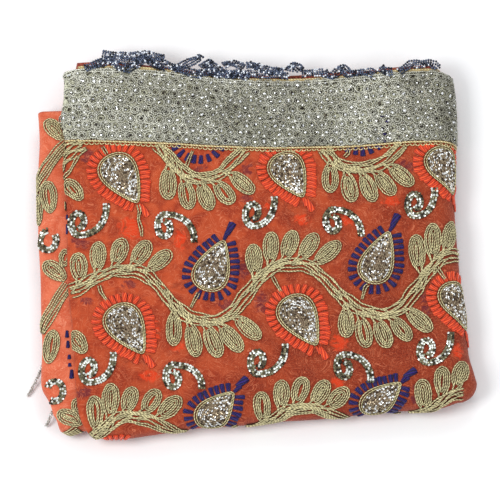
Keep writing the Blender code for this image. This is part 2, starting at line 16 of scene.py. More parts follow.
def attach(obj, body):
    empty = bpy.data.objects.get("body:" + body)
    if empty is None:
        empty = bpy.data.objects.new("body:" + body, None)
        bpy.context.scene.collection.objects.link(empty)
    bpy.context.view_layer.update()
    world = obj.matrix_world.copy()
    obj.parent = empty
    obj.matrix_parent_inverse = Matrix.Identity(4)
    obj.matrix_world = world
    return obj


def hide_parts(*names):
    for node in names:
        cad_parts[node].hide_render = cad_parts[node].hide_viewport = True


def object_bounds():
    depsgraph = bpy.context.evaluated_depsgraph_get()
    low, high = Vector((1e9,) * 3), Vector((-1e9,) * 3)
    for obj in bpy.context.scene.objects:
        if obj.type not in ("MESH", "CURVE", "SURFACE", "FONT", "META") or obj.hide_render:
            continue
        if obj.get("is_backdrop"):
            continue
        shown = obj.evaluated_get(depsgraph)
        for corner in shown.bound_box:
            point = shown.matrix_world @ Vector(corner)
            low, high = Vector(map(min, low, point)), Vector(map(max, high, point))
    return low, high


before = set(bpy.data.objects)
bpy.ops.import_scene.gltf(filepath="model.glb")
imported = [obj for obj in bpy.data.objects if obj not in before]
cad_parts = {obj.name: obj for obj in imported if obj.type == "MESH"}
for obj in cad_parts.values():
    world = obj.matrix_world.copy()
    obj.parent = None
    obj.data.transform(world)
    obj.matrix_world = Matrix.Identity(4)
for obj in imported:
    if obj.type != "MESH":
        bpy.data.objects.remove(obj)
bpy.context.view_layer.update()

# The top panel is one layer of fine orange net, folded under at the left and rolled down at the
# front and right. Two more layers show through it, with their embroidery as soft dark and bright
# patches, and its colour carries painted shade, darker towards the right and front and in deep
# patches. It lies loose, so it has shallow creases and puckers where it is stitched.
MM = 0.001
ORIGIN = Vector((-0.06, -0.94, 0.0))
STACK_HEIGHT = 38.0
FRONT_RADIUS = 19.0
SIDE_RADIUS = 20.0
TOP_FOLD_RADIUS = 3.2
GAP = 0.35
NET_STEP = 3.0
NET_THICK = 0.9
ROUND_RIGHT = 31


def smooth_line(*table):
    """Reader of the smooth curve through a table's two columns, level beyond its ends."""
    starts = [row[0] for row in table]
    slopes = []
    for row in range(len(table)):
        before = table[max(row - 1, 0)]
        after = table[min(row + 1, len(table) - 1)]
        slopes.append((after[1] - before[1]) / (after[0] - before[0]))

    def read(at):
        if at <= starts[0]:
            return table[0][1]
        if at >= starts[-1]:
            return table[-1][1]
        row = bisect_right(starts, at) - 1
        (x0, y0), (x1, y1) = table[row], table[row + 1]
        run = x1 - x0
        t = (at - x0) / run
        start = t * (1 - t) ** 2 * slopes[row] * run
        end = t * t * (t - 1) * slopes[row + 1] * run
        return y0 + (y1 - y0) * t * t * (3 - 2 * t) + start + end

    return read


front_fold = smooth_line(
    (-156, -187), (-126, -187.5), (-101, -184), (-51, -176), (-11, -173.5), (17, -170),
    (64, -167), (92, -164), (124, -160.5), (149, -158), (174, -157.3), (189, -155), (206, -149),
)
back_edge = smooth_line(
    (-193, 168), (-186, 180), (-168, 184.6), (-101, 182.5), (-51, 175), (-11, 171.7),
    (39, 170.6), (79, 172.8), (119, 177), (149, 180.3), (189, 181.4), (203, 178),
)
border_front = smooth_line(
    (-190, 107.2), (-151, 107), (-111, 105.5), (-75, 103.8), (-51, 101.6), (-21, 100.1),
    (20, 98.9), (60, 99.7), (100, 100.7), (127, 102.8), (149, 104.8), (163, 105.7), (204, 106.4),
)
left_side = smooth_line(
    (-240, -150), (-224, -155), (-217, -159), (-202, -166.5), (-187, -171), (-165, -174),
    (-99, -178), (-48, -183), (41, -185), (80, -187), (104, -185.5), (127, -190.5),
    (150, -188), (180, -187),
)
right_side = smooth_line(
    (-149, 226), (-137, 223), (-123, 219), (-109, 217), (-80, 215), (-48, 211), (52, 204.5),
    (60, 206), (135, 206), (168, 204), (186, 201),
)


def ease(low, high, at):
    """0 below low, 1 above high, and a soft rise between."""
    t = min(max((at - low) / (high - low), 0.0), 1.0)
    return t * t * (3 - 2 * t)


def round_edge(past_x, past_y, radius):
    """Way out and drop of cloth that has run past the lines where a rounded edge starts."""
    turn = max(past_x, past_y) / radius
    length = hypot(past_x, past_y)
    if length == 0:
        return 0.0, 0.0, 0.0
    out = radius * sin(turn)
    return out * past_x / length, -out * past_y / length, -radius * (1 - cos(turn))


def left_line(y):
    """Where the top panel starts to turn over its left fold."""
    return left_side(y) + TOP_FOLD_RADIUS


def right_line(y):
    """Where the top panel starts to round down at the right."""
    return right_side(y) - SIDE_RADIUS


def waves(x, y):
    """Gentle rise and fall of the top of the stack."""
    swell = 0.9 * sin(x / 61 + 0.6) * cos(y / 74 - 0.4) + 0.5 * sin((x + 0.7 * y) / 33)
    back_droop = 0.6 * ease(150, 186, y)
    return swell - back_droop - 0.8


def panel_base(x, y):
    """Outer face of the top panel at its cloth coordinates."""
    left = left_line(y)
    right = right_line(y)
    front = front_fold(x)
    flat_x = min(max(x, left), right)
    flat_y = max(y, front)
    out_x, out_y, drop = round_edge(max(x - right, 0), max(front - y, 0), FRONT_RADIUS)
    level = ease(0, 1, 1 + drop / FRONT_RADIUS)
    return Vector((flat_x + out_x, flat_y + out_y, STACK_HEIGHT + drop + waves(flat_x, flat_y) * level))


def folded_spot(base, line, radius, x, y):
    """Point, sideways tangent and normal of a surface whose left side turns under."""
    step = 0.5
    start = line(y) + 1.0
    flat_x = max(x, start)
    point = base(flat_x, y)
    across = base(flat_x + step, y) - base(flat_x - step, y)
    along = base(flat_x, y + step) - base(flat_x, y - step)
    up = across.cross(along).normalized()
    across.normalize()
    if x >= start:
        return point, across, up
    straight = min(start - x, 1.0)
    turn = (start - x - straight) / radius
    centre = point - across * straight - up * radius
    outward = up * cos(turn) - across * sin(turn)
    return centre + outward * radius, across * cos(turn) + up * sin(turn), outward


def panel_spot(x, y):
    """Point, sideways tangent and normal of the top panel."""
    return folded_spot(panel_base, left_line, TOP_FOLD_RADIUS, x, y)


def panel_point(x, y, lift=0.0):
    """Point at a height over the top panel."""
    point, _, up = panel_spot(x, y)
    return point + up * lift


class Reading:
    """Output of a node, with arithmetic that adds the Math nodes it needs."""

    def __init__(self, recipe, socket):
        self.recipe = recipe
        self.socket = socket

    def maths(self, operation, *values):
        return self.recipe.add("ShaderNodeMath", {"operation": operation}, values)

    def __add__(self, other):
        return self.maths("ADD", self, other)

    def __sub__(self, other):
        return self.maths("SUBTRACT", self, other)

    def __rsub__(self, other):
        return self.maths("SUBTRACT", other, self)

    def __mul__(self, other):
        return self.maths("MULTIPLY", self, other)

    __radd__ = __add__
    __rmul__ = __mul__

    def sine(self):
        return self.maths("SINE", self)

    def between(self, low, high):
        """0 at low, 1 at high, and a soft rise between."""
        values = {"Value": self, "From Min": low, "From Max": high}
        return self.recipe.add("ShaderNodeMapRange", {"interpolation_type": "SMOOTHSTEP"}, values)


class Recipe:
    """A material on a Principled shader, whose fixed values stand on its own sockets."""

    def __init__(self, name, **fixed):
        self.material = bpy.data.materials.new(name)
        self.material.use_nodes = True
        self.tree = self.material.node_tree
        self.shader = self.tree.nodes["Principled BSDF"]
        for words, value in fixed.items():
            self.socket(words).default_value = value

    def socket(self, words):
        """Input of the shader by its name in small letters."""
        return self.shader.inputs[words.replace("_", " ").title().replace("Ior", "IOR")]

    def add(self, kind, settings, values, output=0):
        """A node with its settings, then the values or links of its sockets."""
        node = self.tree.nodes.new(kind)
        for setting, value in settings.items():
            setattr(node, setting, value)
        pairs = values.items() if isinstance(values, dict) else enumerate(values)
        for socket, value in pairs:
            if isinstance(value, Reading):
                self.tree.links.new(value.socket, node.inputs[socket])
            else:
                node.inputs[socket].default_value = value
        return Reading(self, node.outputs[output])

    def mix(self, factor, first, second):
        """Colour between two colours."""
        return self.add("ShaderNodeMix", {"data_type": "RGBA"}, {0: factor, 6: first, 7: second}, 2)

    def noise(self, vector, scale, detail=2.0, **more):
        """Soft noise from 0 to 1."""
        values = {"Vector": vector, "Scale": scale, "Detail": detail}
        return self.add("ShaderNodeTexNoise", {}, values | more)

    def place(self, name):
        """Object coordinates, or a piece's own map by its name."""
        if name == "object":
            return self.add("ShaderNodeTexCoord", {}, {}, 3)
        return self.add("ShaderNodeUVMap", {"uv_map": name}, {})

    def shade(self, name):
        """A value that the piece holds at each point."""
        return self.add("ShaderNodeAttribute", {"attribute_name": name}, {}, 2)

    def cover(self, **links):
        """Link what varies to the shader; a height goes through a Bump node of its own depth."""
        height = links.pop("height", None)
        depth = links.pop("depth", 0.3)
        if height is not None:
            values = {"Strength": 1.0, "Distance": depth * MM, "Height": height}
            links["normal"] = self.add("ShaderNodeBump", {}, values)
        for words, value in links.items():
            self.tree.links.new(value.socket, self.socket(words))
        return self.material


def rgb(red, green, blue):
    """Colour of a shader from the values of a screen."""
    return (*((value / 255) ** 2.2 for value in (red, green, blue)), 1.0)


def net_finish(name, middle, light, dark):
    """Layered net: hair-fine curling strokes, cloudy depth, what the layers below show, and painted shade,
    darker towards the right and front and in deep patches.
    """
    net = Recipe(name, roughness=0.85, specular_ior_level=0.2, sheen_weight=0.12, sheen_roughness=0.5)
    cloth = net.place("cloth")
    curl = net.add("ShaderNodeTexNoise", {}, {"Vector": cloth, "Scale": 0.05, "Detail": 1.0}, 1)
    warped = net.add(
        "ShaderNodeVectorMath", {"operation": "MULTIPLY_ADD"}, {0: curl, 1: (46, 46, 0), 2: cloth}
    )
    strokes = None
    for slant, seed in ((0.5, 3.0), (1.6, 41.0), (2.6, 87.0)):
        turned = net.add(
            "ShaderNodeMapping", {"vector_type": "TEXTURE"},
            {"Vector": warped, "Location": (seed, seed, 0), "Rotation": (0, 0, slant),
             "Scale": (7.0, 0.85, 1)},
        )
        hairs = net.noise(turned, 1.0, 2.0)
        strokes = hairs if strokes is None else strokes.maths("MAXIMUM", strokes, hairs)
    hair = strokes.between(0.58, 0.7)
    side = net.add("ShaderNodeSeparateXYZ", {}, [cloth])
    back = net.add("ShaderNodeSeparateXYZ", {}, [cloth], 1)
    # Painted shade: darker towards the right and the front of the cloth, in cloudy steps.
    painted_shade = (side * 0.6 - back * 0.5 + net.noise(cloth, 0.02, 3.0) * 220).between(40, 260)
    cloudy = net.noise(cloth, 0.05, 4.0, Distortion=0.6).between(0.36, 0.62)
    fleck = net.noise(cloth, 0.7, 3.0).between(0.42, 0.62)
    tone = net.mix(cloudy, rgb(*dark), rgb(*middle))
    tone = net.mix(painted_shade * 0.75, tone, rgb(*(value * 0.72 for value in dark)))
    tone = net.mix(fleck * 0.35, tone, rgb(*middle))
    shards = net.add("ShaderNodeTexVoronoi", {}, {"Vector": warped, "Scale": 0.16}, 1)
    ragged = net.noise(cloth, 0.22, 4.0) * 3.0 + shards - 1.0
    under = {}
    for mask in ("smudge", "glow", "deep"):
        under[mask] = (net.shade(mask) * ragged).between(0.25, 0.7)
    # The deep patches are painted shade; the smudges and glow are the navy and orange embroidery below.
    tone = net.mix(under["deep"] * 0.5, tone, rgb(112, 34, 20))
    tone = net.mix(under["glow"] * 0.75, tone, rgb(222, 62, 24))
    tone = net.mix(under["smudge"] * 0.65, tone, rgb(80, 30, 50))
    tone = net.mix(hair * (net.noise(cloth, 0.03, 1.0) * 0.8 + 0.15), tone, rgb(*light))
    return net.cover(base_color=tone, height=strokes + net.noise(cloth, 1.4, 1.0), depth=0.3)


def settle(column, row):
    """Cloth coordinates where a column line and a row line cross."""
    x = y = 0.0
    for _ in range(4):
        x = column(y)
        y = row(x)
    return x, y


def lay_cloth(columns, rows, point, rise, patches=()):
    """Grid of cloth moved onto a surface, with its own millimetres as its map."""
    form = bmesh.new()
    cloth_map = form.loops.layers.uv.new("cloth")
    masks = {name: form.verts.layers.float.new(name) for name in ("smudge", "glow", "deep")}
    across, down = len(columns) - 1, len(rows) - 1
    bmesh.ops.create_grid(form, x_segments=across, y_segments=down, size=0.5)
    spots = {}
    for vertex in form.verts:
        column = columns[round((vertex.co.x + 0.5) * across)]
        row = rows[round((vertex.co.y + 0.5) * down)]
        x, y = settle(column, row)
        spots[vertex] = (x, y)
        vertex.co = point(x, y, rise(x, y))
        for name, mid_x, mid_y, wide, deep in patches:
            near = 1 - 0.8 * hypot((x - mid_x) / wide, (y - mid_y) / deep)
            vertex[masks[name]] = max(vertex[masks[name]], near)
    for face in form.faces:
        for loop in face.loops:
            loop[cloth_map].uv = spots[loop.vert]
    return form


def place_mesh(name, mesh, material):
    """Put a finished mesh into the scene as a piece of the dupatta."""
    mesh.materials.append(material)
    piece = bpy.data.objects.new(name, mesh)
    bpy.context.scene.collection.objects.link(piece)
    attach(piece, "root")
    return piece


def add_piece(name, form, material):
    """Turn a bmesh in millimetres into a piece of the dupatta, in metres."""
    bmesh.ops.translate(form, vec=-ORIGIN, verts=form.verts)
    bmesh.ops.scale(form, vec=(MM, MM, MM), verts=form.verts)
    mesh = bpy.data.meshes.new(name)
    form.to_mesh(mesh)
    form.free()
    mesh.shade_smooth()
    return place_mesh(name, mesh, material)


def thicken(piece, thick):
    """Give a single sheet its thickness, inwards."""
    shell = piece.modifiers.new("thickness", "SOLIDIFY")
    shell.thickness = thick * MM
    shell.offset = -1.0


# Creases: x, y of both ends, half width and height; a trough has a negative height.
CREASES = (
    (-150, 96, -164, -40, 7, 0.5), (-60, 30, -84, -130, 9, -0.5), (60, 100, 70, -60, 11, 0.45),
    (150, 30, 138, -150, 8, -0.5), (-20, -60, 10, -165, 9, 0.5), (190, 60, 196, -120, 8, 0.45),
    (-120, -130, 90, -140, 8, 0.35), (-30, 10, 150, 14, 7, -0.35),
)
# What shows through the net, and painted shade: x, y and half sizes of navy smudges, bright orange and deep
# patches of painted shade.
PATCHES = (
    ("smudge", -165, 90, 9, 10), ("smudge", -176, 0, 7, 8), ("smudge", -5, 43, 12, 6),
    ("smudge", -51, 76, 11, 6), ("smudge", -5, 75, 8, 10), ("smudge", -169, -5, 10, 8),
    ("smudge", -122, -50, 9, 7), ("smudge", 10, -70, 9, 17), ("smudge", -25, -72, 13, 8),
    ("smudge", -164, -67, 8, 6), ("smudge", -7, -32, 9, 14), ("smudge", 174, -71, 8, 16),
    ("smudge", 162, -169, 5, 14), ("smudge", -166, -165, 11, 9), ("smudge", 154, 79, 14, 9),
    ("deep", -170, 81, 10, 8), ("deep", 36, 25, 9, 15), ("deep", 41, -43, 10, 8),
    ("deep", 128, -68, 16, 9), ("deep", -8, -26, 10, 14), ("deep", 60, -120, 40, 10),
    ("deep", 100, -30, 12, 20), ("deep", 0, -160, 22, 12), ("deep", -60, -50, 26, 9),
    ("deep", 170, -40, 12, 22), ("deep", -110, -130, 22, 8), ("deep", 180, -155, 22, 9),
    ("glow", -119, 12, 17, 15), ("glow", 52, 20, 11, 8), ("glow", 88, -112, 11, 11),
    ("glow", 87, -154, 10, 9), ("glow", 207, -121, 8, 11), ("glow", -71, -2, 8, 15),
    ("glow", -97, -99, 9, 15), ("glow", -101, -148, 14, 8), ("glow", 19, 36, 9, 8),
    ("glow", -73, -115, 11, 8), ("glow", 98, 20, 10, 9), ("glow", 140, 40, 12, 9),
)


def creased(x, y):
    """Height of the creases at a place on the cloth."""
    high = 0.0
    for x0, y0, x1, y1, half, rise in CREASES:
        run_x, run_y = x1 - x0, y1 - y0
        length = hypot(run_x, run_y)
        t = ((x - x0) * run_x + (y - y0) * run_y) / length ** 2
        aside = abs((x - x0) * run_y - (y - y0) * run_x) / length
        high += rise * ease(1.0, 0.75, t) * ease(0.0, 0.25, t) * ease(half, 0, aside)
    return high + 0.12 * sin(x / 5.3 + 2 * sin(y / 17)) * sin(y / 6.1 + 2 * sin(x / 13))


def panel_columns(step, left_turn=150, turns=8, right_turns=14):
    """Column lines of the top panel: over the left fold, across the flat, down the right."""
    columns = []
    for k in range(turns):
        turn = radians(left_turn * (1 - k / turns))
        columns.append(lambda y, t=turn: left_line(y) - TOP_FOLD_RADIUS * t)
    count = ceil(380 / step)
    for k in range(count + 1):
        columns.append(lambda y, f=k / count: (1 - f) * (left_line(y) + 1) + f * right_line(y))
    for k in range(1, right_turns + 1):
        turn = radians(104 * k / right_turns)
        columns.append(lambda y, t=turn: right_line(y) + SIDE_RADIUS * t)
    return columns


def border_row(x, f):
    """Row line of the border: 0 along the braid, 1 along the selvage."""
    return (1 - f) * border_front(x) + f * back_edge(x)


panel_rows = [
    lambda x, t=radians(146 * (1 - k / 18)): front_fold(x) - FRONT_RADIUS * t for k in range(18)
]
panel_rows += [lambda x, f=k / 91: (1 - f) * front_fold(x) + f * border_front(x) for k in range(91)]
panel_rows += [lambda x, f=k / 16: border_row(x, f) for k in range(17)]

top_panel = add_piece(
    "top_panel_net",
    lay_cloth(panel_columns(NET_STEP), panel_rows, panel_point, creased, PATCHES),
    net_finish("top net", (188, 78, 44), (222, 128, 92), (146, 50, 28)),
)
thicken(top_panel, NET_THICK)
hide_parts("top_panel")

# The next fold of the same net sticks out at the left under the top panel. It is paler, partly
# because it is one layer over fewer others and partly as painted light from the left, and its
# outer edge is a soft fold that rolls under.
LEDGE_HEIGHT = 29.6
LEDGE_FRONT_RADIUS = 15.0
LEDGE_FOLD_RADIUS = 8.0
LEDGE_BACK = 142.0
LEDGE_TUCK = 15.0
ledge_side = smooth_line(
    (-190, -196), (-178, -198), (-169, -201), (-156, -208), (-143, -209.5), (-100, -209),
    (-46, -211), (-3, -213), (72, -214.5), (110, -213), (148, -216),
)
ledge_front = smooth_line(
    (-208, -168), (-200, -175), (-190, -182), (-181, -185.4), (-166, -182), (-150, -180)
)


def ledge_line(y):
    """Where the next fold starts to turn under."""
    return ledge_side(y) + LEDGE_FOLD_RADIUS


def tuck_line(y):
    """How far the next fold's wall goes in under the top panel."""
    return left_line(max(y, front_fold(-156))) + LEDGE_TUCK


def ledge_base(x, y):
    """Outer face of the next fold at its cloth coordinates."""
    flat_x = max(x, ledge_line(y))
    front = ledge_front(x)
    out_y, drop = round_edge(0, max(front - y, 0), LEDGE_FRONT_RADIUS)[1:]
    slope = 0.05 * (flat_x + 175)
    return Vector((flat_x, max(y, front) + out_y, LEDGE_HEIGHT + drop + min(slope, 0)))


def ledge_spot(x, y):
    """Point, sideways tangent and normal of the next fold."""
    return folded_spot(ledge_base, ledge_line, LEDGE_FOLD_RADIUS, x, y)


def ledge_point(x, y, lift=0.0):
    """Point at a height over the next fold."""
    point, _, up = ledge_spot(x, y)
    return point + up * lift


def rippled(x, y):
    """Small ripples of the narrow fold, stronger where it rolls under at the front."""
    return 0.35 * sin(y / 14 + 0.8 * sin(x / 9)) + 0.25 * sin(y / 5.7 + x / 7) * ease(-120, -190, y)


ledge_columns = [
    lambda y, t=radians(115 * (1 - k / 12)): ledge_line(y) - LEDGE_FOLD_RADIUS * t for k in range(12)
]
ledge_columns += [lambda y, f=k / 18: (1 - f) * (ledge_line(y) + 1) + f * tuck_line(y) for k in range(19)]
ledge_rows = [
    lambda x, t=radians(118 * (1 - k / 14)): ledge_front(x) - LEDGE_FRONT_RADIUS * t for k in range(14)
]
ledge_rows += [lambda x, f=k / 120: (1 - f) * ledge_front(x) + f * LEDGE_BACK for k in range(121)]

left_fold = add_piece(
    "left_fold_net",
    lay_cloth(ledge_columns, ledge_rows, ledge_point, rippled),
    # Paler tones: fewer layers below, and painted light from the left.
    net_finish("left fold net", (222, 112, 80), (244, 160, 128), (200, 88, 58)),
)
thicken(left_fold, NET_THICK)
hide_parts("left_fold")

# Ten hidden layers lie under the two that show. Each is the same net folded back on itself, so
# its edge is a small round fold, a little in or out of its neighbours, with its creases pressed.
LAYER_THICK = 3.2
CORE_INSET = 3.4
LEDGE_INSET = 3.6
BACK_PEEKS = (
    (-151, 12, 12), (-103, 12, 8), (-80, 16, 9), (-35, 10, 10), (-16, 9, 4), (0, 8, 4),
    (23, 14, 5), (52, 24, 5), (102, 22, 5), (168, 12, 4), (193, 8, 4),
)


def folded_reach(radius, middle, z):
    """Half width of a fold of this radius at a height."""
    return sqrt(max(radius ** 2 - (z - middle) ** 2, 0))


def back_reach(x, z):
    """How far the hidden layers stand out past the selvage of the top panel."""
    step_out = 2 + 12 * ease(32, 20, z) - 4 * ease(10, 0, z)
    peek = 0.0
    for middle, half_width, reach in BACK_PEEKS:
        peek += reach * ease(half_width, 0, abs(x - middle)) * ease(22, 29, z)
    return max(step_out, peek)


def spread(low, high, count):
    """Even steps from low to high, both ends kept."""
    return [low + (high - low) * k / (count - 1) for k in range(count)]


def layer_outline(z, full):
    """Edge of the hidden layers at a height, front left corner first; full adds the next fold."""
    front = folded_reach(FRONT_RADIUS - CORE_INSET, FRONT_RADIUS, z)
    ledge = folded_reach(LEDGE_FRONT_RADIUS - LEDGE_INSET, LEDGE_HEIGHT - LEDGE_FRONT_RADIUS, z)
    fold = folded_reach(LEDGE_FOLD_RADIUS - LEDGE_INSET, LEDGE_HEIGHT - LEDGE_FOLD_RADIUS - 1, z)
    left = max(fold, 4 * ease(15, 12, z))
    right = max(front, 13 * ease(15, 10, z))
    ring = []
    if full:
        ring += [(x, ledge_front(x) - ledge) for x in spread(-184, -149, 10)]
    ring += [(x, front_fold(x) - front) for x in spread(-141 if full else -146, 200, 76)]
    for turn in spread(-67, -23, 3):
        ring.append((right_line(-149) + front * cos(radians(turn)), -149 + front * sin(radians(turn))))
    ring += [(right_line(y) + right, y) for y in spread(-141, 170, 68)]
    corner_x = right_line(178)
    for turn in (30, 60):
        x = corner_x + right * cos(radians(turn))
        ring.append((x, 172 + (back_reach(x, z) + 6) * sin(radians(turn))))
    ring += [(x, back_edge(x) + back_reach(x, z)) for x in spread(corner_x, -176, 90)]
    if full:
        ring += [(left_line(y) + 2.5, y) for y in (170, 158, 146)]
        ring += [(ledge_line(y) - left, y) for y in spread(LEDGE_BACK - 3, -172, 70)]
        for turn in (202, 225, 248):
            x = ledge_line(-178) + 6 + (left + 3) * cos(radians(turn))
            ring.append((x, -176 + (ledge + 1.5) * sin(radians(turn))))
    else:
        ring += [(left_line(y) + 2.5, y) for y in (170, LEDGE_BACK + 6)]
        ring += [(tuck_line(y) + 2, y) for y in spread(LEDGE_BACK + 2, -178, 60)]
    apart = [ring[0]]
    for x, y in ring[1:]:
        if hypot(x - apart[-1][0], y - apart[-1][1]) > 0.5:
            apart.append((x, y))
    return apart


def make_layer(low, high, full, seed):
    """One hidden layer: a flat plate of cloth whose edge rounds over, a little unevenly."""
    form = bmesh.new()
    cloth_map = form.loops.layers.uv.new("cloth")
    rims = ((0.0, 1.4), (0.2, 0.45), (0.5, 0.0), (0.8, 0.45), (1.0, 1.4))
    outline = layer_outline((low + high) / 2, full)
    count = len(outline)
    bmesh.ops.create_grid(form, x_segments=count, y_segments=len(rims) - 1, size=0.5)
    spots = {}
    for vertex in form.verts:
        i = round((vertex.co.x + 0.5) * count)
        share, tuck = rims[round((vertex.co.y + 0.5) * (len(rims) - 1))]
        (x0, y0), (x, y), (x1, y1) = (outline[(i + k) % count] for k in (-1, 0, 1))
        length = hypot(x1 - x0, y1 - y0)
        tuck += 0.6 + 0.5 * sin(x / 19 + y / 27 + seed * 2.1) + 0.3 * sin(x / 7 - y / 9 + seed)
        dip = 0.25 * sin(x / 31 + y / 24 + seed)
        spots[vertex] = (x + y, (low + high) * 0.5 + share * 4)
        x -= (y1 - y0) / length * tuck
        y += (x1 - x0) / length * tuck
        vertex.co = (x, y, low + (high - low) * share + dip * share * (low > 0.1))
    for face in form.faces:
        for loop in face.loops:
            loop[cloth_map].uv = spots[loop.vert]
    bmesh.ops.remove_doubles(form, verts=form.verts, dist=0.01)
    bmesh.ops.holes_fill(form, edges=form.edges, sides=0)
    bmesh.ops.recalc_face_normals(form, faces=form.faces)
    return form


hidden_net = net_finish("hidden net", (200, 92, 66), (226, 140, 104), (132, 48, 40))
for number in range(10):
    low = number * LAYER_THICK + (GAP if number > 7 else 0)
    form = make_layer(low, low + LAYER_THICK - 0.12, number < 8, number)
    layer = add_piece(f"hidden_layer_{number + 1}", form, hidden_net)
    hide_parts("lower_layers" if number < 8 else "upper_layers")

# The stone border is a band of metal thread worked so closely that no net shows: rings of pale
# thread round faceted glass stones, small rings and knots between them, loose thread over all, and
# two fine cords along the selvage.
BORDER_THICK = 1.8
BORDER_ROWS = 8
STONE_PITCH = 9.6
LOOSE_ARCS = 760
BRAID_WIDTH = 3.4


def braid_front(x):
    """Where the braid starts, along the front of the border."""
    return border_front(x) - GAP - BRAID_WIDTH


def lay_track(points, spot, lift):
    """Points and normals along a path of cloth coordinates, at a height over a surface."""
    track = []
    for k, (x, y) in enumerate(points):
        point, _, up = spot(x, y)
        high = lift[k] if isinstance(lift, (list, tuple)) else lift
        track.append((point + up * high, up))
    return track


class Cords:
    """Cords of one piece: one grid for all, rolled round their tracks and parted between them."""

    def __init__(self, sides=5):
        self.sides = sides
        self.frames = []
        self.starts = set()

    def roll(self, track, width, high, closed=False):
        """Add a cord along a track of points and normals, pointed at its ends unless it is closed."""
        steps = len(track) - 1
        run = 0.0
        self.starts.add(len(self.frames))
        for i, (point, up) in enumerate(track):
            before = track[i - 1][0] if i else (track[-2][0] if closed else point)
            after = track[i + 1][0] if i < steps else (track[1][0] if closed else point)
            along = (after - before).normalized()
            side = along.cross(up).normalized()
            if i:
                run += (point - track[i - 1][0]).length
            share = 1.0 if closed or 0 < i < steps else 0.0
            wide = width[i] if isinstance(width, (list, tuple)) else width
            self.frames.append((point, side * wide / 2 * share, side.cross(along) * high / 2 * share, run))

    def form(self):
        """The finished bmesh; its map "cord" has the run in millimetres and the turn."""
        form = bmesh.new()
        cord_map = form.loops.layers.uv.new("cord")
        count = len(self.frames) - 1
        bmesh.ops.create_grid(form, x_segments=count, y_segments=self.sides, size=0.5)
        turns = [2 * pi * j / self.sides for j in range(self.sides + 1)]
        spots, columns = {}, {}
        for vertex in form.verts:
            i = round((vertex.co.x + 0.5) * count)
            turn = turns[round((vertex.co.y + 0.5) * self.sides)]
            point, side, up, run = self.frames[i]
            vertex.co = point + side * cos(turn) + up * sin(turn)
            spots[vertex] = (run, turn / (2 * pi))
            columns[vertex] = i
        between = []
        for face in form.faces:
            if max(columns[vertex] for vertex in face.verts) in self.starts:
                between.append(face)
            for loop in face.loops:
                loop[cord_map].uv = spots[loop.vert]
        bmesh.ops.delete(form, geom=between, context="FACES")
        bmesh.ops.remove_doubles(form, verts=form.verts, dist=0.004)
        return form


def twisted_finish(name, light, dark, pitch, lit=None, **fixed):
    """Twisted thread: slanted ridges round the cord, with painted shade in the grooves and at its sides and a
    painted highlight on its top, a little uneven.
    """
    thread = Recipe(name, **fixed)
    parts = thread.add("ShaderNodeSeparateXYZ", {}, [thread.place("cord")])
    around = thread.add("ShaderNodeSeparateXYZ", {}, [thread.place("cord")], 1)
    # Ridge and crest paint shade between the strands and at the cord's sides, and a highlight on its top;
    # worn is random unevenness.
    ridge = ((parts * (2 * pi / pitch) + around * (4 * pi)).sine() * 0.5 + 0.5).between(0.0, 0.55)
    crest = (around * (2 * pi)).sine().between(0.2, 0.95)
    worn = thread.noise(thread.place("object"), 160.0, 2.0).between(0.3, 0.7)
    bright = crest * (ridge * 0.72 + 0.28) * (worn * 0.35 + 0.65)
    if lit:
        bright = bright * lit(thread)
    return thread.cover(base_color=thread.mix(bright, rgb(*dark), rgb(*light)), height=ridge, depth=0.35)


def bead_form(kind="cut"):
    """Unit form of a bead, 1 across, standing on its own Z axis."""
    form = bmesh.new()
    if kind == "cut":
        bmesh.ops.create_uvsphere(form, u_segments=6, v_segments=4, radius=0.5)
    else:
        bmesh.ops.create_icosphere(form, subdivisions=1, radius=0.5)
    return form


def scatter(name, unit, places, material, smooth=False):
    """One piece of many copies of a small form, each with its own matrix and shade."""
    points = [vertex.co.copy() for vertex in unit.verts]
    faces = [[vertex.index for vertex in face.verts] for face in unit.faces]
    unit.free()
    all_points, all_faces, shades = [], [], []
    for matrix, shade in places:
        base = len(all_points)
        all_points += [(matrix @ point - ORIGIN) * MM for point in points]
        all_faces += [[base + k for k in face] for face in faces]
        shades += [shade] * len(points)
    mesh = bpy.data.meshes.new(name)
    mesh.from_pydata(all_points, [], all_faces)
    mesh.attributes.new("shade", "FLOAT", "POINT").data.foreach_set("value", shades)
    if smooth:
        mesh.shade_smooth()
    return place_mesh(name, mesh, material)


def bead_place(point, along, up, long, wide, high):
    """Matrix of a bead that lies along a direction, with its other sizes across and up."""
    along = along.normalized()
    side = up.cross(along).normalized()
    up = along.cross(side)
    turned = Matrix((side * wide, up * high, along * long)).transposed().to_4x4()
    return Matrix.Translation(point) @ turned


def way_out(side, up, turn):
    """Direction in the cloth at a turn from its sideways tangent."""
    return side * cos(turn) + up.cross(side) * sin(turn)


def stone_finish(name, bright, middle, dark, **fixed):
    """Faceted glass and metal beads: each bead's shade picks its tone, from dark as painted shade through its
    middle colour to bright as a painted glint.
    """
    stone = Recipe(name, **fixed)
    own = stone.shade("shade")
    tone = stone.mix(own.between(0.0, 0.45), rgb(*dark), rgb(*middle))
    tone = stone.mix(own.between(0.55, 0.85), tone, rgb(*bright))
    return stone.cover(base_color=tone)


def painted_border_light(recipe):
    """Painted light and shade along the band: lit at its left and right of its middle, shaded in its middle
    and towards its right end, in cloudy patches.
    """
    x = recipe.add("ShaderNodeSeparateXYZ", {}, [recipe.place("object")])
    cloudy = recipe.noise(recipe.place("object"), 22.0, 3.0).between(0.3, 0.7) * 0.45
    shaded_middle = x.between(-0.15, -0.05) * 0.45
    lit_right = x.between(0.06, 0.1) * 0.35
    shaded_end = x.between(0.13, 0.17) * 0.45
    return 1.25 - shaded_middle + lit_right - shaded_end + (cloudy - 0.2)


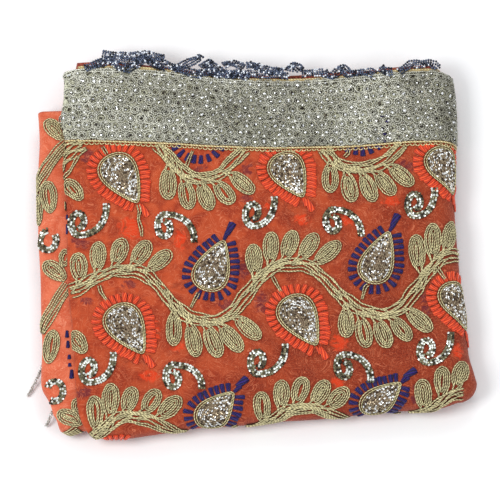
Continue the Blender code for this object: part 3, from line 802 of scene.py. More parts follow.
chance = Random(11)
band = Recipe("border ground", roughness=0.5, metallic=0.25)
cloth = band.place("cloth")
cells = band.add("ShaderNodeTexVoronoi", {"feature": "DISTANCE_TO_EDGE"}, {"Vector": cloth, "Scale": 0.3})
loops = (band.noise(cloth, 0.3, 2.0, Distortion=1.2) * 20).sine() * 0.5 + 0.5
loops = loops.between(0.6, 0.9)
thread = loops.maths("MAXIMUM", loops, 1 - cells.between(0.04, 0.2))
thread = thread * (band.noise(cloth, 0.7, 1.0).between(0.3, 0.6) * 0.6 + 0.4)
# The threads take the painted light and shade of the band.
tone = band.mix(thread * painted_border_light(band), rgb(58, 52, 40), rgb(216, 216, 190))
band_finish = band.cover(base_color=tone, height=thread, depth=0.6)
border_rows = [lambda x, f=k / 30: border_row(x, f) for k in range(31)]
stone_border = add_piece(
    "stone_border_band",
    lay_cloth(
        panel_columns(2.6, 75, 4), border_rows, panel_point,
        lambda x, y: GAP + BORDER_THICK * (0.55 + 0.2 * sin(x / 3.1 + y / 5) * sin(y / 3.3 - x / 9)),
    ),
    band_finish,
)
thicken(stone_border, 1.0)
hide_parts("stone_border")


def ring_points(x, y, reach_x, reach_y, count):
    """Closed ring of cloth coordinates, its first point repeated at the end."""
    turns = [2 * pi * k / count for k in range(count)] + [0.0]
    return [(x + reach_x * cos(turn), y + reach_y * sin(turn)) for turn in turns]


rings = Cords(sides=4)
stones, knots = [], []
for row in range(BORDER_ROWS):
    share = (row + 0.5) / BORDER_ROWS
    shift = STONE_PITCH / 2 * (row % 2)
    x = left_line(140) - 2 + shift
    while x < 226:
        at_x = x + chance.uniform(-1.3, 1.3)
        at_y = border_row(min(at_x, 200), share) + chance.uniform(-1.1, 1.1)
        x += STONE_PITCH
        if at_x > right_line(at_y) + ROUND_RIGHT or at_x < left_line(at_y) - 1:
            continue
        big = chance.uniform(3.9, 5.1)
        lift = GAP + BORDER_THICK + 0.1
        track = lay_track(ring_points(at_x, at_y, big, big * 0.98, 14), panel_spot, lift + 0.2)
        rings.roll(track, 1.3, 1.3, closed=True)
        point, side, up = panel_spot(at_x, at_y)
        if chance.random() < 0.5:
            track = lay_track(ring_points(at_x, at_y, big * 0.55, big * 0.52, 9), panel_spot, lift)
            rings.roll(track, 0.9, 0.9, closed=True)
        else:
            for k in range(6):
                way = way_out(side, up, 2 * pi * k / 6 + big)
                knots.append((bead_place(point + way * big * 0.6 + up * lift, way, up, 1.5, 1.2, 1.1), 0.4))
        for _ in range(chance.choice((1, 1, 2, 2, 3))):
            way = way_out(side, up, chance.uniform(0, 2 * pi))
            away = way * chance.uniform(0, 0.28) * big
            size = chance.uniform(1.8, 3.1)
            shade = chance.choice((0.0, 0.0, 0.2, 0.9, 0.95, 1.0, 1.0))
            stones.append((bead_place(point + away + up * lift, way, up, size, size * 0.8, 1.5), shade))
        for near_x, near_y in ((0.5, 0.1), (0.5, -0.4), (0.0, 0.5)):
            small_x = at_x + STONE_PITCH * near_x + chance.uniform(-1.0, 1.0)
            small_y = at_y + STONE_PITCH * near_y + chance.uniform(-1.0, 1.0)
            if not border_front(small_x) + 1.5 < small_y < back_edge(small_x) - 1:
                continue
            if small_x > right_line(small_y) + ROUND_RIGHT:
                continue
            point, side, up = panel_spot(small_x, small_y)
            reach = chance.uniform(1.4, 2.1)
            if chance.random() < 0.6:
                track = lay_track(ring_points(small_x, small_y, reach, reach, 8), panel_spot, lift)
                rings.roll(track, 1.0, 1.0, closed=True)
                stones.append((bead_place(point + up * lift, side, up, 1.6, 1.5, 1.3), chance.random()))
            else:
                for k in range(4):
                    way = way_out(side, up, pi / 2 * k + reach * 3)
                    knots.append((bead_place(point + way * 1.2 + up * lift, way, up, 1.6, 1.3, 1.2), 0.6))
for _ in range(LOOSE_ARCS):
    at_x = chance.uniform(-184, 226)
    at_y = border_row(min(at_x, 200), chance.uniform(0.02, 0.99))
    if not left_line(at_y) - 1 < at_x < right_line(at_y) + ROUND_RIGHT:
        continue
    turn, bend, reach = chance.uniform(0, 2 * pi), chance.uniform(2.0, 4.4), chance.uniform(1.8, 3.8)
    arc = [
        (at_x + reach * cos(turn + bend * k / 5), at_y + reach * sin(turn + bend * k / 5)) for k in range(6)
    ]
    rings.roll(lay_track(arc, panel_spot, GAP + BORDER_THICK + 0.2), 1.0, 1.0)
for share in (0.95, 0.985):
    row = [settle(column, lambda x: border_row(x, share)) for column in panel_columns(1.6, 75, 5, 24)]
    rings.roll(lay_track(row, panel_spot, GAP + BORDER_THICK + 0.1), 1.6, 1.4)
# The pale thread takes the same painted light and shade as the band.
pale_thread = twisted_finish(
    "pale metal thread", (255, 255, 238), (70, 64, 44), 2.2, painted_border_light, roughness=0.4, metallic=0.3
)
border_rings = add_piece("stone_border_rings", rings.form(), pale_thread)
# Bright stones are painted glints and dark ones painted shade in the pits.
glass = stone_finish(
    "border stones", (246, 248, 250), (132, 124, 104), (40, 32, 28), roughness=0.15, metallic=0.5
)
border_stones = scatter("stone_border_stones", bead_form(), stones, glass)
knot_thread = stone_finish(
    "border knots", (206, 204, 180), (176, 174, 148), (96, 90, 70), roughness=0.45, metallic=0.25
)
border_knots = scatter("stone_border_knots", bead_form("round"), knots, knot_thread, True)

# A scalloped braid of gold thread covers the border's front edge: a flat cord with a row of small
# loops along its front.


def beside(path, offsets):
    """A path moved sideways by its offsets, to the left of its way."""
    moved = []
    for k, (x, y) in enumerate(path):
        x0, y0 = path[max(k - 1, 0)]
        x1, y1 = path[min(k + 1, len(path) - 1)]
        length = hypot(x1 - x0, y1 - y0)
        moved.append((x - (y1 - y0) / length * offsets[k], y + (x1 - x0) / length * offsets[k]))
    return moved


braid = Cords(sides=6)
braid_columns = panel_columns(1.6, 75, 5, 24)
path = [settle(column, lambda x: braid_front(x) + BRAID_WIDTH * 0.6) for column in braid_columns]
widths = [2.3 + 0.5 * sin(k * 1.9) for k in range(len(path))]
braid.roll(lay_track(path, panel_spot, GAP + 0.9), widths, 2.1)
at_x = path[4][0]
while at_x < path[-1][0] - 3:
    arc = []
    for k in range(7):
        turn = pi * k / 6
        front = braid_front(at_x) + 1.3
        arc.append((at_x + 2.3 - 2.3 * cos(turn), front - (2.9 + 0.4 * sin(at_x)) * sin(turn)))
    braid.roll(lay_track(arc, panel_spot, GAP + 0.7), 1.35, 1.2)
    at_x += 5.2
gold_braid = twisted_finish("gold braid", (250, 232, 176), (150, 122, 72), 3.0, roughness=0.42, metallic=0.3)
braid_piece = add_piece("gold_braid", braid.form(), gold_braid)
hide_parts("braid")

# Vines of laid gold cord swing over the panel. Each is seven twisted cords side by side, and fans of
# leaves grow from its crests and hang from its troughs: each leaf is one cord coiled inwards, whose
# two ends run back along the vine and cross its cords.
CORD_WIDTH = 1.75
CORD_LIFT = 0.95
VINE_ON_FRONT = 38
VINE_ON_RIGHT = 27
VINE_LANES = 7
VINE_LANE = 1.95
CORD_PITCH = 1.95
LEAF_WIDTH = 17.5
LEAF_HALF = 15.0
LEAF_REACH = 24.0
LEAF_SHARP = -0.12
VINES = (
    ((-127, 122), (-49, 66), (33, 122)),
    ((36, 122), (107, 75.5), (197, 128)),
    ((-193, -58), (-126, -35), (-44, -88.5), (39, -29), (128, -81), (212, -15), (224, -17)),
    ((-168, -214), (-118, -191), (-52, -216)),
    ((-6, -208), (52, -181), (118, -206)),
    ((156, -194), (214, -166)),
)
# Fans: number of the vine, 1 for leaves that stand up from a crest or -1 for hanging ones, and the
# middles of the leaves.
LEAF_FANS = (
    (0, -1, ((-83, 57), (-64, 46), (-45, 44.5), (-26.5, 49), (-8.5, 58.5))),
    (1, -1, ((79.5, 64), (99, 53.5), (118, 53.5), (135, 59), (152, 67))),
    (2, 1, ((-172, -30), (-153, -18), (-132, -14), (-110, -16), (-91, -24))),
    (2, 1, ((3, -21), (20, -8.5), (39, -6.5), (58, -8.5), (78, -15))),
    (2, 1, ((166, -10.5), (182, 2), (200, 6))),
    (2, -1, ((-77, -101), (-57, -113), (-37, -114), (-18, -110), (-1, -98))),
    (2, -1, ((95, -92.5), (113, -103.5), (132, -104.5), (150, -98), (169, -89.5))),
    (3, 1, ((-155, -184.5), (-139.5, -170.6), (-120.5, -173.5), (-99, -175), (-81, -181.5))),
    (4, 1, ((11, -179), (30, -167), (49, -163), (69, -165), (86, -171))),
    (5, 1, ((171, -166), (190, -153), (208, -146))),
)
# Paired cords that run from blossoms to the vines, cords that cross over the left fold, and two
# leaves that turn over it: middle x, y, lean, length and width.
STEMS = (
    ((-113.5, 37.5), (-111.5, 30), (-113, 21), (-110, 10), (-109, -1)), ((-150, 100), (-144, 90)),
    ((-65, 77), (-62, 86), (-58, 96)), ((93, 87), (98, 92), (98, 97)),
    ((-52, -58), (-56, -66), (-61, -77)), ((118, -50), (114, -53), (110, -69)),
    ((-152, -50), (-150, -58), (-143, -69)), ((21, -41), (25, -49), (31, -60)),
    ((185, -30), (190, -38), (195, -46)), ((-189, 64), (-182, 72), (-175, 86), (-172, 92)),
    ((-189, 72), (-187, 82), (-177, 88)), ((-187.5, 42), (-187, 36), (-187.5, 30)),
    ((140, -203), (146, -196), (149, -190)), ((-20, -206), (-12, -200)),
)
CROSSINGS = (((-192, 80), (-184, 89), (-174, 96), (-163, 101)), ((-191, 94), (-180, 99), (-168, 102)))
EDGE_LEAVES = ((-178, 52, -38, 28, 17), (-172.5, -112, -30, 28, 18))
LEAF_LEANS = {1: (-4, 2, 16, 30, 46), -1: (0, 10, 20, 36, 46)}


def swing(crests, x):
    """Centre line of a vine: level at each crest, quick between them."""
    if x <= crests[0][0]:
        return crests[0][1]
    for (x0, y0), (x1, y1) in zip(crests, crests[1:]):
        if x <= x1:
            t = (x - x0) / (x1 - x0)
            return y0 + (y1 - y0) * t * t * t * (t * (6 * t - 15) + 10)
    return crests[-1][1]


def vine_path(crests, step):
    """Even points along a vine, on the part of it that lies on the top panel."""
    path = []
    x = crests[0][0]
    while x < crests[-1][0]:
        y = swing(crests, x)
        on_panel = front_fold(x) - VINE_ON_FRONT < y < braid_front(x) + 2
        on_panel = on_panel and left_line(y) - 2 < x < right_line(y) + VINE_ON_RIGHT
        if on_panel and (not path or hypot(x - path[-1][0], y - path[-1][1]) >= step):
            path.append((x, y))
        x += 0.25
    return path


def egg_point(centre, lean, length, width, sharp, turn):
    """Point of an egg whose tip points along its lean; sharp draws the tip in."""
    side = width / 2 * sin(turn) * (1 - sharp * cos(turn))
    along = length / 2 * cos(turn)
    x = centre[0] + along * sin(lean) + side * cos(lean)
    y = centre[1] + along * cos(lean) - side * sin(lean)
    return x, y


def even_points(path, step):
    """Points a set distance apart along a path, with the way there."""
    spots = []
    left = 0.0
    for (x0, y0), (x1, y1) in zip(path, path[1:]):
        length = hypot(x1 - x0, y1 - y0)
        while left < length:
            f = left / length
            spots.append((x0 + (x1 - x0) * f, y0 + (y1 - y0) * f, (x1 - x0) / length, (y1 - y0) / length))
            left += step
        left -= length
    return spots


def resampled(path, step):
    """The points alone, a set distance apart along a path."""
    return [spot[:2] for spot in even_points(path, step)]


def lay_leaf(cords, spot, centre, lean, length, width, chance, tails=()):
    """A leaf of one cord coiled inwards; the outer turns end in tails, as paths of cloth points."""
    inset = CORD_WIDTH / 2
    level = 0
    while width / 2 - inset > 0.7:
        count = max(12, round((length + width - 4 * inset) * 0.62))
        skew = chance.uniform(-0.5, 0.5)
        middle = (centre[0] + skew * 0.6, centre[1] + skew * 0.4)
        size = (length - 2 * inset, width - 2 * inset)
        open_turn = 0.5 if level < len(tails) else 0.0
        turns = [pi + open_turn + (2 * pi - 2 * open_turn) * k / count for k in range(count + 1)]
        points = [egg_point(middle, lean, *size, LEAF_SHARP, turn) for turn in turns]
        points = [(x + chance.uniform(-0.3, 0.3), y + chance.uniform(-0.3, 0.3)) for x, y in points]
        if not open_turn:
            points[-1] = points[0]
        if open_turn:
            first, last = tails[level]
            points = list(reversed(first)) + points + last
        lifts = [CORD_LIFT + 0.2 * sin(k * 0.7 + level * 2 + skew * 9) for k in range(len(points))]
        width_here = CORD_WIDTH * chance.uniform(0.88, 1.0)
        cords.roll(lay_track(points, spot, lifts), width_here, 1.9, closed=not open_turn)
        inset += CORD_PITCH
        level += 1
    if width / 2 - inset > -1.0 and chance.random() < 0.7:
        ends = [egg_point(centre, lean, (length - 2 * inset) * 0.9, 1, 0, turn) for turn in (pi, 0)]
        line = resampled(ends, 3.0) + ends[1:]
        cords.roll(lay_track(line, spot, CORD_LIFT), CORD_WIDTH, 1.8)


chance = Random(23)
cords = Cords()
paths = [vine_path(crests, 2.6) for crests in VINES]
for path in paths:
    for lane in range(VINE_LANES):
        phase = chance.uniform(0, 6)
        offsets, lifts = [], []
        for k in range(len(path)):
            wander = 1.3 * sin(k / 3.9 + phase) + 0.5 * sin(k / 1.5 + 2 * phase) + chance.uniform(-0.4, 0.4)
            offsets.append((lane - (VINE_LANES - 1) / 2) * VINE_LANE + wander)
            lifts.append(CORD_LIFT + 0.4 * sin(k / 4 + phase * 2))
        cords.roll(lay_track(beside(path, offsets), panel_spot, lifts), CORD_WIDTH, 2.0)
for vine, rise, centres in LEAF_FANS:
    path = paths[vine]
    for centre, lean in zip(centres, LEAF_LEANS[rise]):
        lean = radians(lean if rise == 1 else 180 - lean)
        reach = LEAF_HALF
        while reach < LEAF_REACH:
            root = (centre[0] - sin(lean) * reach, centre[1] - cos(lean) * reach)
            if min(hypot(x - root[0], y - root[1]) for x, y in path) < 6.0:
                break
            reach += 0.5
        shift = (reach - LEAF_HALF) / 2
        centre = (centre[0] - sin(lean) * shift, centre[1] - cos(lean) * shift)
        length = (LEAF_HALF + reach) * chance.uniform(0.98, 1.04)
        width = LEAF_WIDTH * chance.uniform(0.95, 1.06)
        near = min(range(len(path)), key=lambda k: hypot(path[k][0] - root[0] + 3, path[k][1] - root[1]))
        tails = []
        for level in range(2):
            pair = []
            for hand in (-1, 1):
                stop = max(near - 5 - chance.randrange(6), 0)
                part = path[stop:near][::-1]
                if len(part) < 2:
                    pair.append([])
                    continue
                offset = chance.uniform(-4.5, 4.5)
                start = 3.0 * rise
                glide = [start + (offset - start) * ease(0, 1, k / (len(part) - 1)) for k in range(len(part))]
                pair.append(beside(part, [-value for value in glide]))
            tails.append(pair)
        lay_leaf(cords, panel_spot, centre, lean, length, width, chance, tails)
for points in CROSSINGS:
    fine = resampled(points, 2.6)
    for lane in range(5):
        offsets = [(lane - 2) * 2.7 + 1.3 * sin(k / 1.6 + lane * 2) for k in range(len(fine))]
        cords.roll(lay_track(beside(fine, offsets), panel_spot, CORD_LIFT + 0.2 * lane), CORD_WIDTH, 2.0)
for points in STEMS:
    fine = resampled(points, 2.2)
    for hand in (-1, 1):
        offsets = [hand * (1.1 + 0.3 * sin(k / 1.5)) for k in range(len(fine))]
        cords.roll(lay_track(beside(fine, offsets), panel_spot, CORD_LIFT + 0.5), 1.5, 1.8)
for x, y, lean, length, width in EDGE_LEAVES:
    lay_leaf(cords, panel_spot, (x, y), radians(lean), length, width, chance)
gold_cord = twisted_finish("gold cord", (244, 232, 176), (64, 44, 20), 3.4, roughness=0.45, metallic=0.3)
vines = add_piece("vine_and_leaf_cords", cords.form(), gold_cord)
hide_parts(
    "vine_upper_left", "vine_upper_right", "vine_middle", "vine_lower_left", "vine_lower_middle",
    "vine_lower_right",
)

# Blossoms: a teardrop of cut crystal sewn in curved rows, inside two rows of gold cord, with
# padded satin stitches all round it and a longer leaf of satin at its tip, in orange or navy silk.
DROP_SHARP = 0.55
CORD_ROWS = ((0.7, 46), (2.7, 42))
CRYSTAL_INSET = 4.3
CRYSTAL_ROW = 1.65
RAY_ON_FRONT = 36
RAY_ON_RIGHT = 24
DROPS = (
    ("orange_1", -128.5, 64.5, 150, 60, 36), ("orange_2", 39.6, 67.5, 152, 54, 34),
    ("orange_3", 195.5, 75, 157, 52, 33), ("orange_4", -122.3, -98.5, 150, 60, 36),
    ("orange_5", 50.5, -89, 150, 60, 36), ("orange_6", 208, -70.5, 158, 53, 33),
    ("navy_1", -37, -29.5, 20, 58, 34), ("navy_2", 128, -21, 20, 60, 32),
    ("navy_3", -34, -184, 42, 50, 31), ("navy_4", 130, -171.5, 50, 50, 28),
)
PART_DROPS = (
    ("navy_part", -49, 119, 20, 58, 34), ("navy_part", 113, 128, 20, 58, 34),
    ("orange_part", -131, -247, 150, 52, 36), ("orange_part", 46, -232, 150, 52, 36),
    ("orange_part", 207, -222, 158, 52, 36),
)
# Navy stitches at the left fold: x, y, length and width.
EDGE_STITCHES = (
    (panel_spot, -184.5, 26, 5, 4), (panel_spot, -184.5, 16, 11, 4), (ledge_spot, -183.5, -96, 8, 4),
    (ledge_spot, -182.5, -107, 8, 4), (ledge_spot, -181, -122, 5, 4), (ledge_spot, -180.5, -131, 4, 4),
    (ledge_spot, -178.5, -138, 10, 5),
)
chance = Random(37)
crystals = []
drop_cords = Cords()
drop_pads = Cords(sides=4)
satins = {"orange": Cords(sides=6), "navy": Cords(sides=6)}
RAYS = {"orange": (33, 6.2), "navy": (25, 5.4)}


def satin_pad(satin, start, way, length, width, high, lift, spot=panel_spot):
    """A padded satin stitch on the cloth: narrower at its root, square at its end."""
    track, widths = [], []
    for along, share in ((0, 0.6), (0.02, 0.66), (0.3, 0.78), (0.65, 0.94), (0.93, 1.0), (1.0, 0.9)):
        track.append((start[0] + way[0] * length * along, start[1] + way[1] * length * along))
        widths.append(width * share)
    satin.roll(lay_track(track, spot, lift), widths, high)


for name, mid_x, mid_y, lean, drop_length, drop_width in DROPS + PART_DROPS:
    centre, tip = (mid_x, mid_y), radians(lean)
    silk_name, number = name.split("_")
    satin = satins[silk_name]
    whole = number != "part"
    for inset, count in CORD_ROWS if whole else ():
        size = (drop_length - 2 * inset, drop_width - 2 * inset)
        turns = [2 * pi * k / count for k in range(count)] + [0.0]
        points = [egg_point(centre, tip, *size, DROP_SHARP, turn) for turn in turns]
        drop_cords.roll(lay_track(points, panel_spot, CORD_LIFT + 0.2), 1.5, 1.7, closed=True)
    inset = CRYSTAL_INSET
    while whole and drop_width / 2 - inset > 0.5:
        size = (drop_length - 2 * inset, drop_width - 2 * inset)
        count = max(8, round((size[0] + size[1]) * 0.45))
        ring = [egg_point(centre, tip, *size, DROP_SHARP, 2 * pi * k / count) for k in range(count)]
        # Each crystal row lies on a dark pad of painted shade.
        drop_pads.roll(lay_track(ring + ring[:1], panel_spot, 0.75), 3.2, 0.8, closed=True)
        around = pi * (size[0] + size[1]) / 2
        count = max(5, round(around / 2.3))
        for k in range(count):
            turn = 2 * pi * (k + chance.uniform(-0.2, 0.2)) / count
            x, y = egg_point(centre, tip, *size, DROP_SHARP, turn)
            next_x, next_y = egg_point(centre, tip, *size, DROP_SHARP, turn + 0.1)
            point, side, up = panel_spot(x, y)
            way = Vector((next_x - x, next_y - y, 0)).normalized()
            way = way - up * way.dot(up)
            turned = Matrix.Rotation(chance.uniform(-0.5, 0.5), 3, up) @ way
            shade = chance.choice((0.0, 0.1, 0.25, 0.4, 0.5, 0.5, 0.8, 0.95, 1.0))
            lift = 1.2 + chance.uniform(-0.2, 0.5)
            tilt = Matrix.Rotation(chance.uniform(-0.35, 0.35), 3, side)
            crystals.append((bead_place(point + up * lift, tilt @ turned, up, 2.6, 1.6, 1.6), shade))
        inset += CRYSTAL_ROW
    if whole:
        ends = [egg_point(centre, tip, drop_length * 0.45, 0, 0, turn) for turn in (pi, 0)]
        line = resampled(ends, 3.0) + ends[1:]
        drop_pads.roll(lay_track(line, panel_spot, 0.75), 5.0, 0.8)
    rays, ray_width = RAYS[silk_name]
    turns = [2 * pi * k / 120 for k in range(121)]
    edge = [egg_point(centre, tip, drop_length + 1, drop_width + 1, DROP_SHARP, turn) for turn in turns]
    around = sum(hypot(x1 - x0, y1 - y0) for (x0, y0), (x1, y1) in zip(edge, edge[1:]))
    for start_x, start_y, way_x, way_y in even_points(edge, around / rays):
        spin = chance.uniform(-0.1, 0.1)
        way = (-way_y * cos(spin) - way_x * sin(spin), -way_y * sin(spin) + way_x * cos(spin))
        reach = chance.uniform(9.6, 11.6) if silk_name == "orange" else chance.uniform(8.8, 10.4)
        if way[1] > 0.05:
            reach = min(reach, (braid_front(start_x) - 0.5 - start_y) / way[1])
        low_end = start_y + min(way[1], 0) * reach
        in_reach = low_end > front_fold(start_x) - RAY_ON_FRONT
        if reach > 2.5 and in_reach and start_x < right_line(start_y) + RAY_ON_RIGHT:
            wide = ray_width * chance.uniform(0.9, 1.06)
            satin_pad(satin, (start_x, start_y), way, reach, wide, 1.9, 0.6)
    if whole:
        turn = tip + (0 if silk_name == "orange" else 0.09)
        start = (mid_x + sin(tip) * drop_length / 2 + 3, mid_y + cos(tip) * drop_length / 2)
        start = (start[0], start[1] + (-2 if silk_name == "orange" else 6))
        satin_pad(satin, start, (sin(turn), cos(turn)), 15.0, 8.0, 2.2, 0.7)
for spot, x, y, length, width in EDGE_STITCHES:
    satin_pad(satins["navy"], (x, y), (0, -1), length, width, 1.6, 0.6, spot)
drop_gold = add_piece("blossom_cords", drop_cords.form(), gold_cord)
# Dark mottled pads under the crystals and beads are painted shade between them.
shade_base = Recipe("bead shade ground", roughness=0.6)
mottle = shade_base.noise(shade_base.place("object"), 700.0, 2.0).between(0.35, 0.65)
bead_shade_ground = shade_base.cover(
    base_color=shade_base.mix(mottle, rgb(84, 64, 48), rgb(156, 136, 108)), height=mottle, depth=0.3
)
drop_shade_ground = add_piece("blossom_shade_grounds", drop_pads.form(), bead_shade_ground)
# Bright crystals are painted glints and dark ones painted shade.
crystal = stone_finish(
    "cut crystal", (250, 252, 250), (166, 150, 124), (58, 42, 32), roughness=0.12, metallic=0.5
)
drop_crystals = scatter("blossom_crystals", bead_form(), crystals, crystal)
for name, *_ in DROPS:
    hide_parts("drop_" + name)


def satin_finish(name, light, middle, dark):
    """Silk laid in slanted threads along each stitch, with a soft gleam; its colour paints shade between the
    threads and a highlight on their tops.
    """
    silk = Recipe(name, roughness=0.45, specular_ior_level=0.35, sheen_weight=0.08)
    place = silk.place("cord")
    run = silk.add("ShaderNodeSeparateXYZ", {}, [place])
    around = silk.add("ShaderNodeSeparateXYZ", {}, [place], 1)
    threads = (around * (12 * pi) + run * 0.7).sine() * 0.5 + 0.5
    uneven = silk.noise(silk.place("object"), 160.0, 2.0).between(0.3, 0.7)
    tone = silk.mix(threads.between(0.0, 0.6), rgb(*dark), rgb(*middle))
    tone = silk.mix(threads.between(0.7, 1.0) * uneven, tone, rgb(*light))
    return silk.cover(base_color=tone, height=threads, depth=0.5)


# Painted highlight, the silk's own colour, and painted shade between the threads.
satin_tones = {
    "orange": ((255, 108, 56), (240, 76, 32), (176, 42, 16)),
    "navy": ((54, 28, 126), (32, 12, 94), (14, 4, 46)),
}
for name, satin in satins.items():
    silk = satin_finish(name + " satin", *satin_tones[name])
    add_piece(name + "_satin", satin.form(), silk)

# Scrolls: a coil and a curved tail, sewn as three rows of cut silver beads side by side.
# Middle of the coil x, y, end of the tail x, y, and 1 for a tail that rises.
COIL_HALF = (7.6, 12.0)
SCROLLS = (
    (-172.5, 15, -145, 37.5, 1), (2, 24.5, 23.5, 45, 1), (164.5, 36, 184, 55, 1),
    (-161, -143, -137, -123, 1), (7, -134, 34, -112, 1), (175.5, -122, 199, -100, 1),
    (-86, 14, -57, -5, -1), (82.5, 18.5, 110, 1, -1), (-77, -148.5, -49, -163, -1),
    (93, -137, 119, -155, -1),
)


def scroll_path(x, y, tail_x, tail_y, rise):
    """Tall coil of a turn and a bit that runs out into a curved tail."""
    coil = smooth_line((-120, 0.25), (-60, 0.36), (0, 0.6), (50, 0.88), (100, 1.0), (270, 1.0))
    points = []
    for k in range(66):
        turn = -120 + 6 * k
        reach = coil(turn)
        out, back = COIL_HALF[0] * reach, COIL_HALF[1] * reach * rise
        points.append((x + out * cos(radians(turn)), y + back * sin(radians(turn))))
    start_x, start_y = points[-1]
    out_x, out_y = tail_x - start_x, tail_y - start_y
    for k in range(1, 21):
        t = k / 20
        along = 3 * t * (1 - t) ** 2 * 0.5 + 3 * t * t * (1 - t) * 1.05 + t ** 3
        upward = 3 * t * t * (1 - t) * 0.28 + t ** 3
        points.append((start_x + out_x * along, start_y + out_y * upward))
    return points


def sew_beads(places, pads, path, spot, chance, rows=3, size=2.6):
    """Rows of cut beads side by side along a path, each a little out of line, on a dark pad of painted shade
    between them.
    """
    line = resampled(path, 2.0)
    pads.roll(lay_track(line, spot, GAP + 0.5), size * rows * 0.86, 0.9)
    for row in range(rows):
        for x, y, way_x, way_y in even_points(path, size * 0.92):
            aside = (row - (rows - 1) / 2) * size * 0.95 + chance.uniform(-0.3, 0.3)
            point, side, up = spot(x - way_y * aside, y + way_x * aside)
            way = Vector((way_x, way_y, 0))
            way = Matrix.Rotation(chance.uniform(-0.9, 0.9), 3, up) @ (way - up * way.dot(up))
            shade = chance.choice((0.0, 0.2, 0.35, 0.5, 0.9, 0.95, 1.0))
            point = point + up * (GAP + 0.9 + chance.uniform(-0.15, 0.35))
            places.append((bead_place(point, way, up, size * 1.15, size * 0.9, size * 0.85), shade))


chance = Random(41)
beads = []
pads = Cords(sides=4)
for scroll in SCROLLS:
    sew_beads(beads, pads, scroll_path(*scroll), panel_spot, chance)
scroll_shade_ground = add_piece("scroll_shade_grounds", pads.form(), bead_shade_ground)
# Bright beads are painted glints and dark ones painted shade.
bead_glass = stone_finish(
    "scroll beads", (240, 246, 238), (132, 128, 100), (48, 44, 34), roughness=0.15, metallic=0.5
)
scrolls = scatter("scroll_beads", bead_form(), beads, bead_glass)
for number in range(10):
    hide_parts(f"scroll_{number + 1}")

# The narrow fold at the left carries the same embroidery: leaves, parts of the vines that turn
# under its edge, and small beaded coils. Middle x, y, lean, length and width of each leaf.
LEDGE_LEAVES = (
    (-197, 121, -42, 30, 17), (-203, 48, -6, 36, 18), (-214, 36, -4, 36, 12), (-196, -32, -48, 30, 18),
    (-186, -18, 10, 20, 14), (-199, -113, 8, 37, 17), (-180, -189, -66, 28, 16), (-172.5, -176.5, 12, 18, 13),
)
LEDGE_VINES = (
    ((-180, 110), (-193, 98), (-205, 82), (-215, 64), (-222, 54)),
    ((-181, -46), (-192, -62), (-203, -82), (-212, -98)),
    ((-170, -200), (-178, -206), (-186, -212)),
)
chance = Random(53)
ledge_cords = Cords()
for x, y, lean, length, width in LEDGE_LEAVES:
    lay_leaf(ledge_cords, ledge_spot, (x, y), radians(lean), length, width, chance)
for crests in LEDGE_VINES:
    fine = resampled(crests, 2.6)
    for lane in range(6):
        phase = chance.uniform(0, 6)
        offsets = [(lane - 2.5) * 2.3 + 0.5 * sin(k / 3 + phase) for k in range(len(fine))]
        lifts = [CORD_LIFT + 0.3 * sin(k / 2 + phase) for k in range(len(fine))]
        ledge_cords.roll(lay_track(beside(fine, offsets), ledge_spot, lifts), CORD_WIDTH, 2.0)
fold_pieces = [add_piece("left_fold_cords", ledge_cords.form(), gold_cord)]
coils = []
pads = Cords(sides=4)
for x, y, start, sweep in ((-203, 1, 30, 300), (-195, -161, 150, 280)):
    path = []
    for k in range(31):
        turn = radians(start - sweep * k / 30)
        path.append((x + 8.0 * cos(turn), y + 10.5 * sin(turn)))
    sew_beads(coils, pads, path, ledge_spot, chance)
fold_pieces.append(add_piece("left_fold_shade_grounds", pads.form(), bead_shade_ground))
fold_pieces.append(scatter("left_fold_beads", bead_form(), coils, bead_glass))

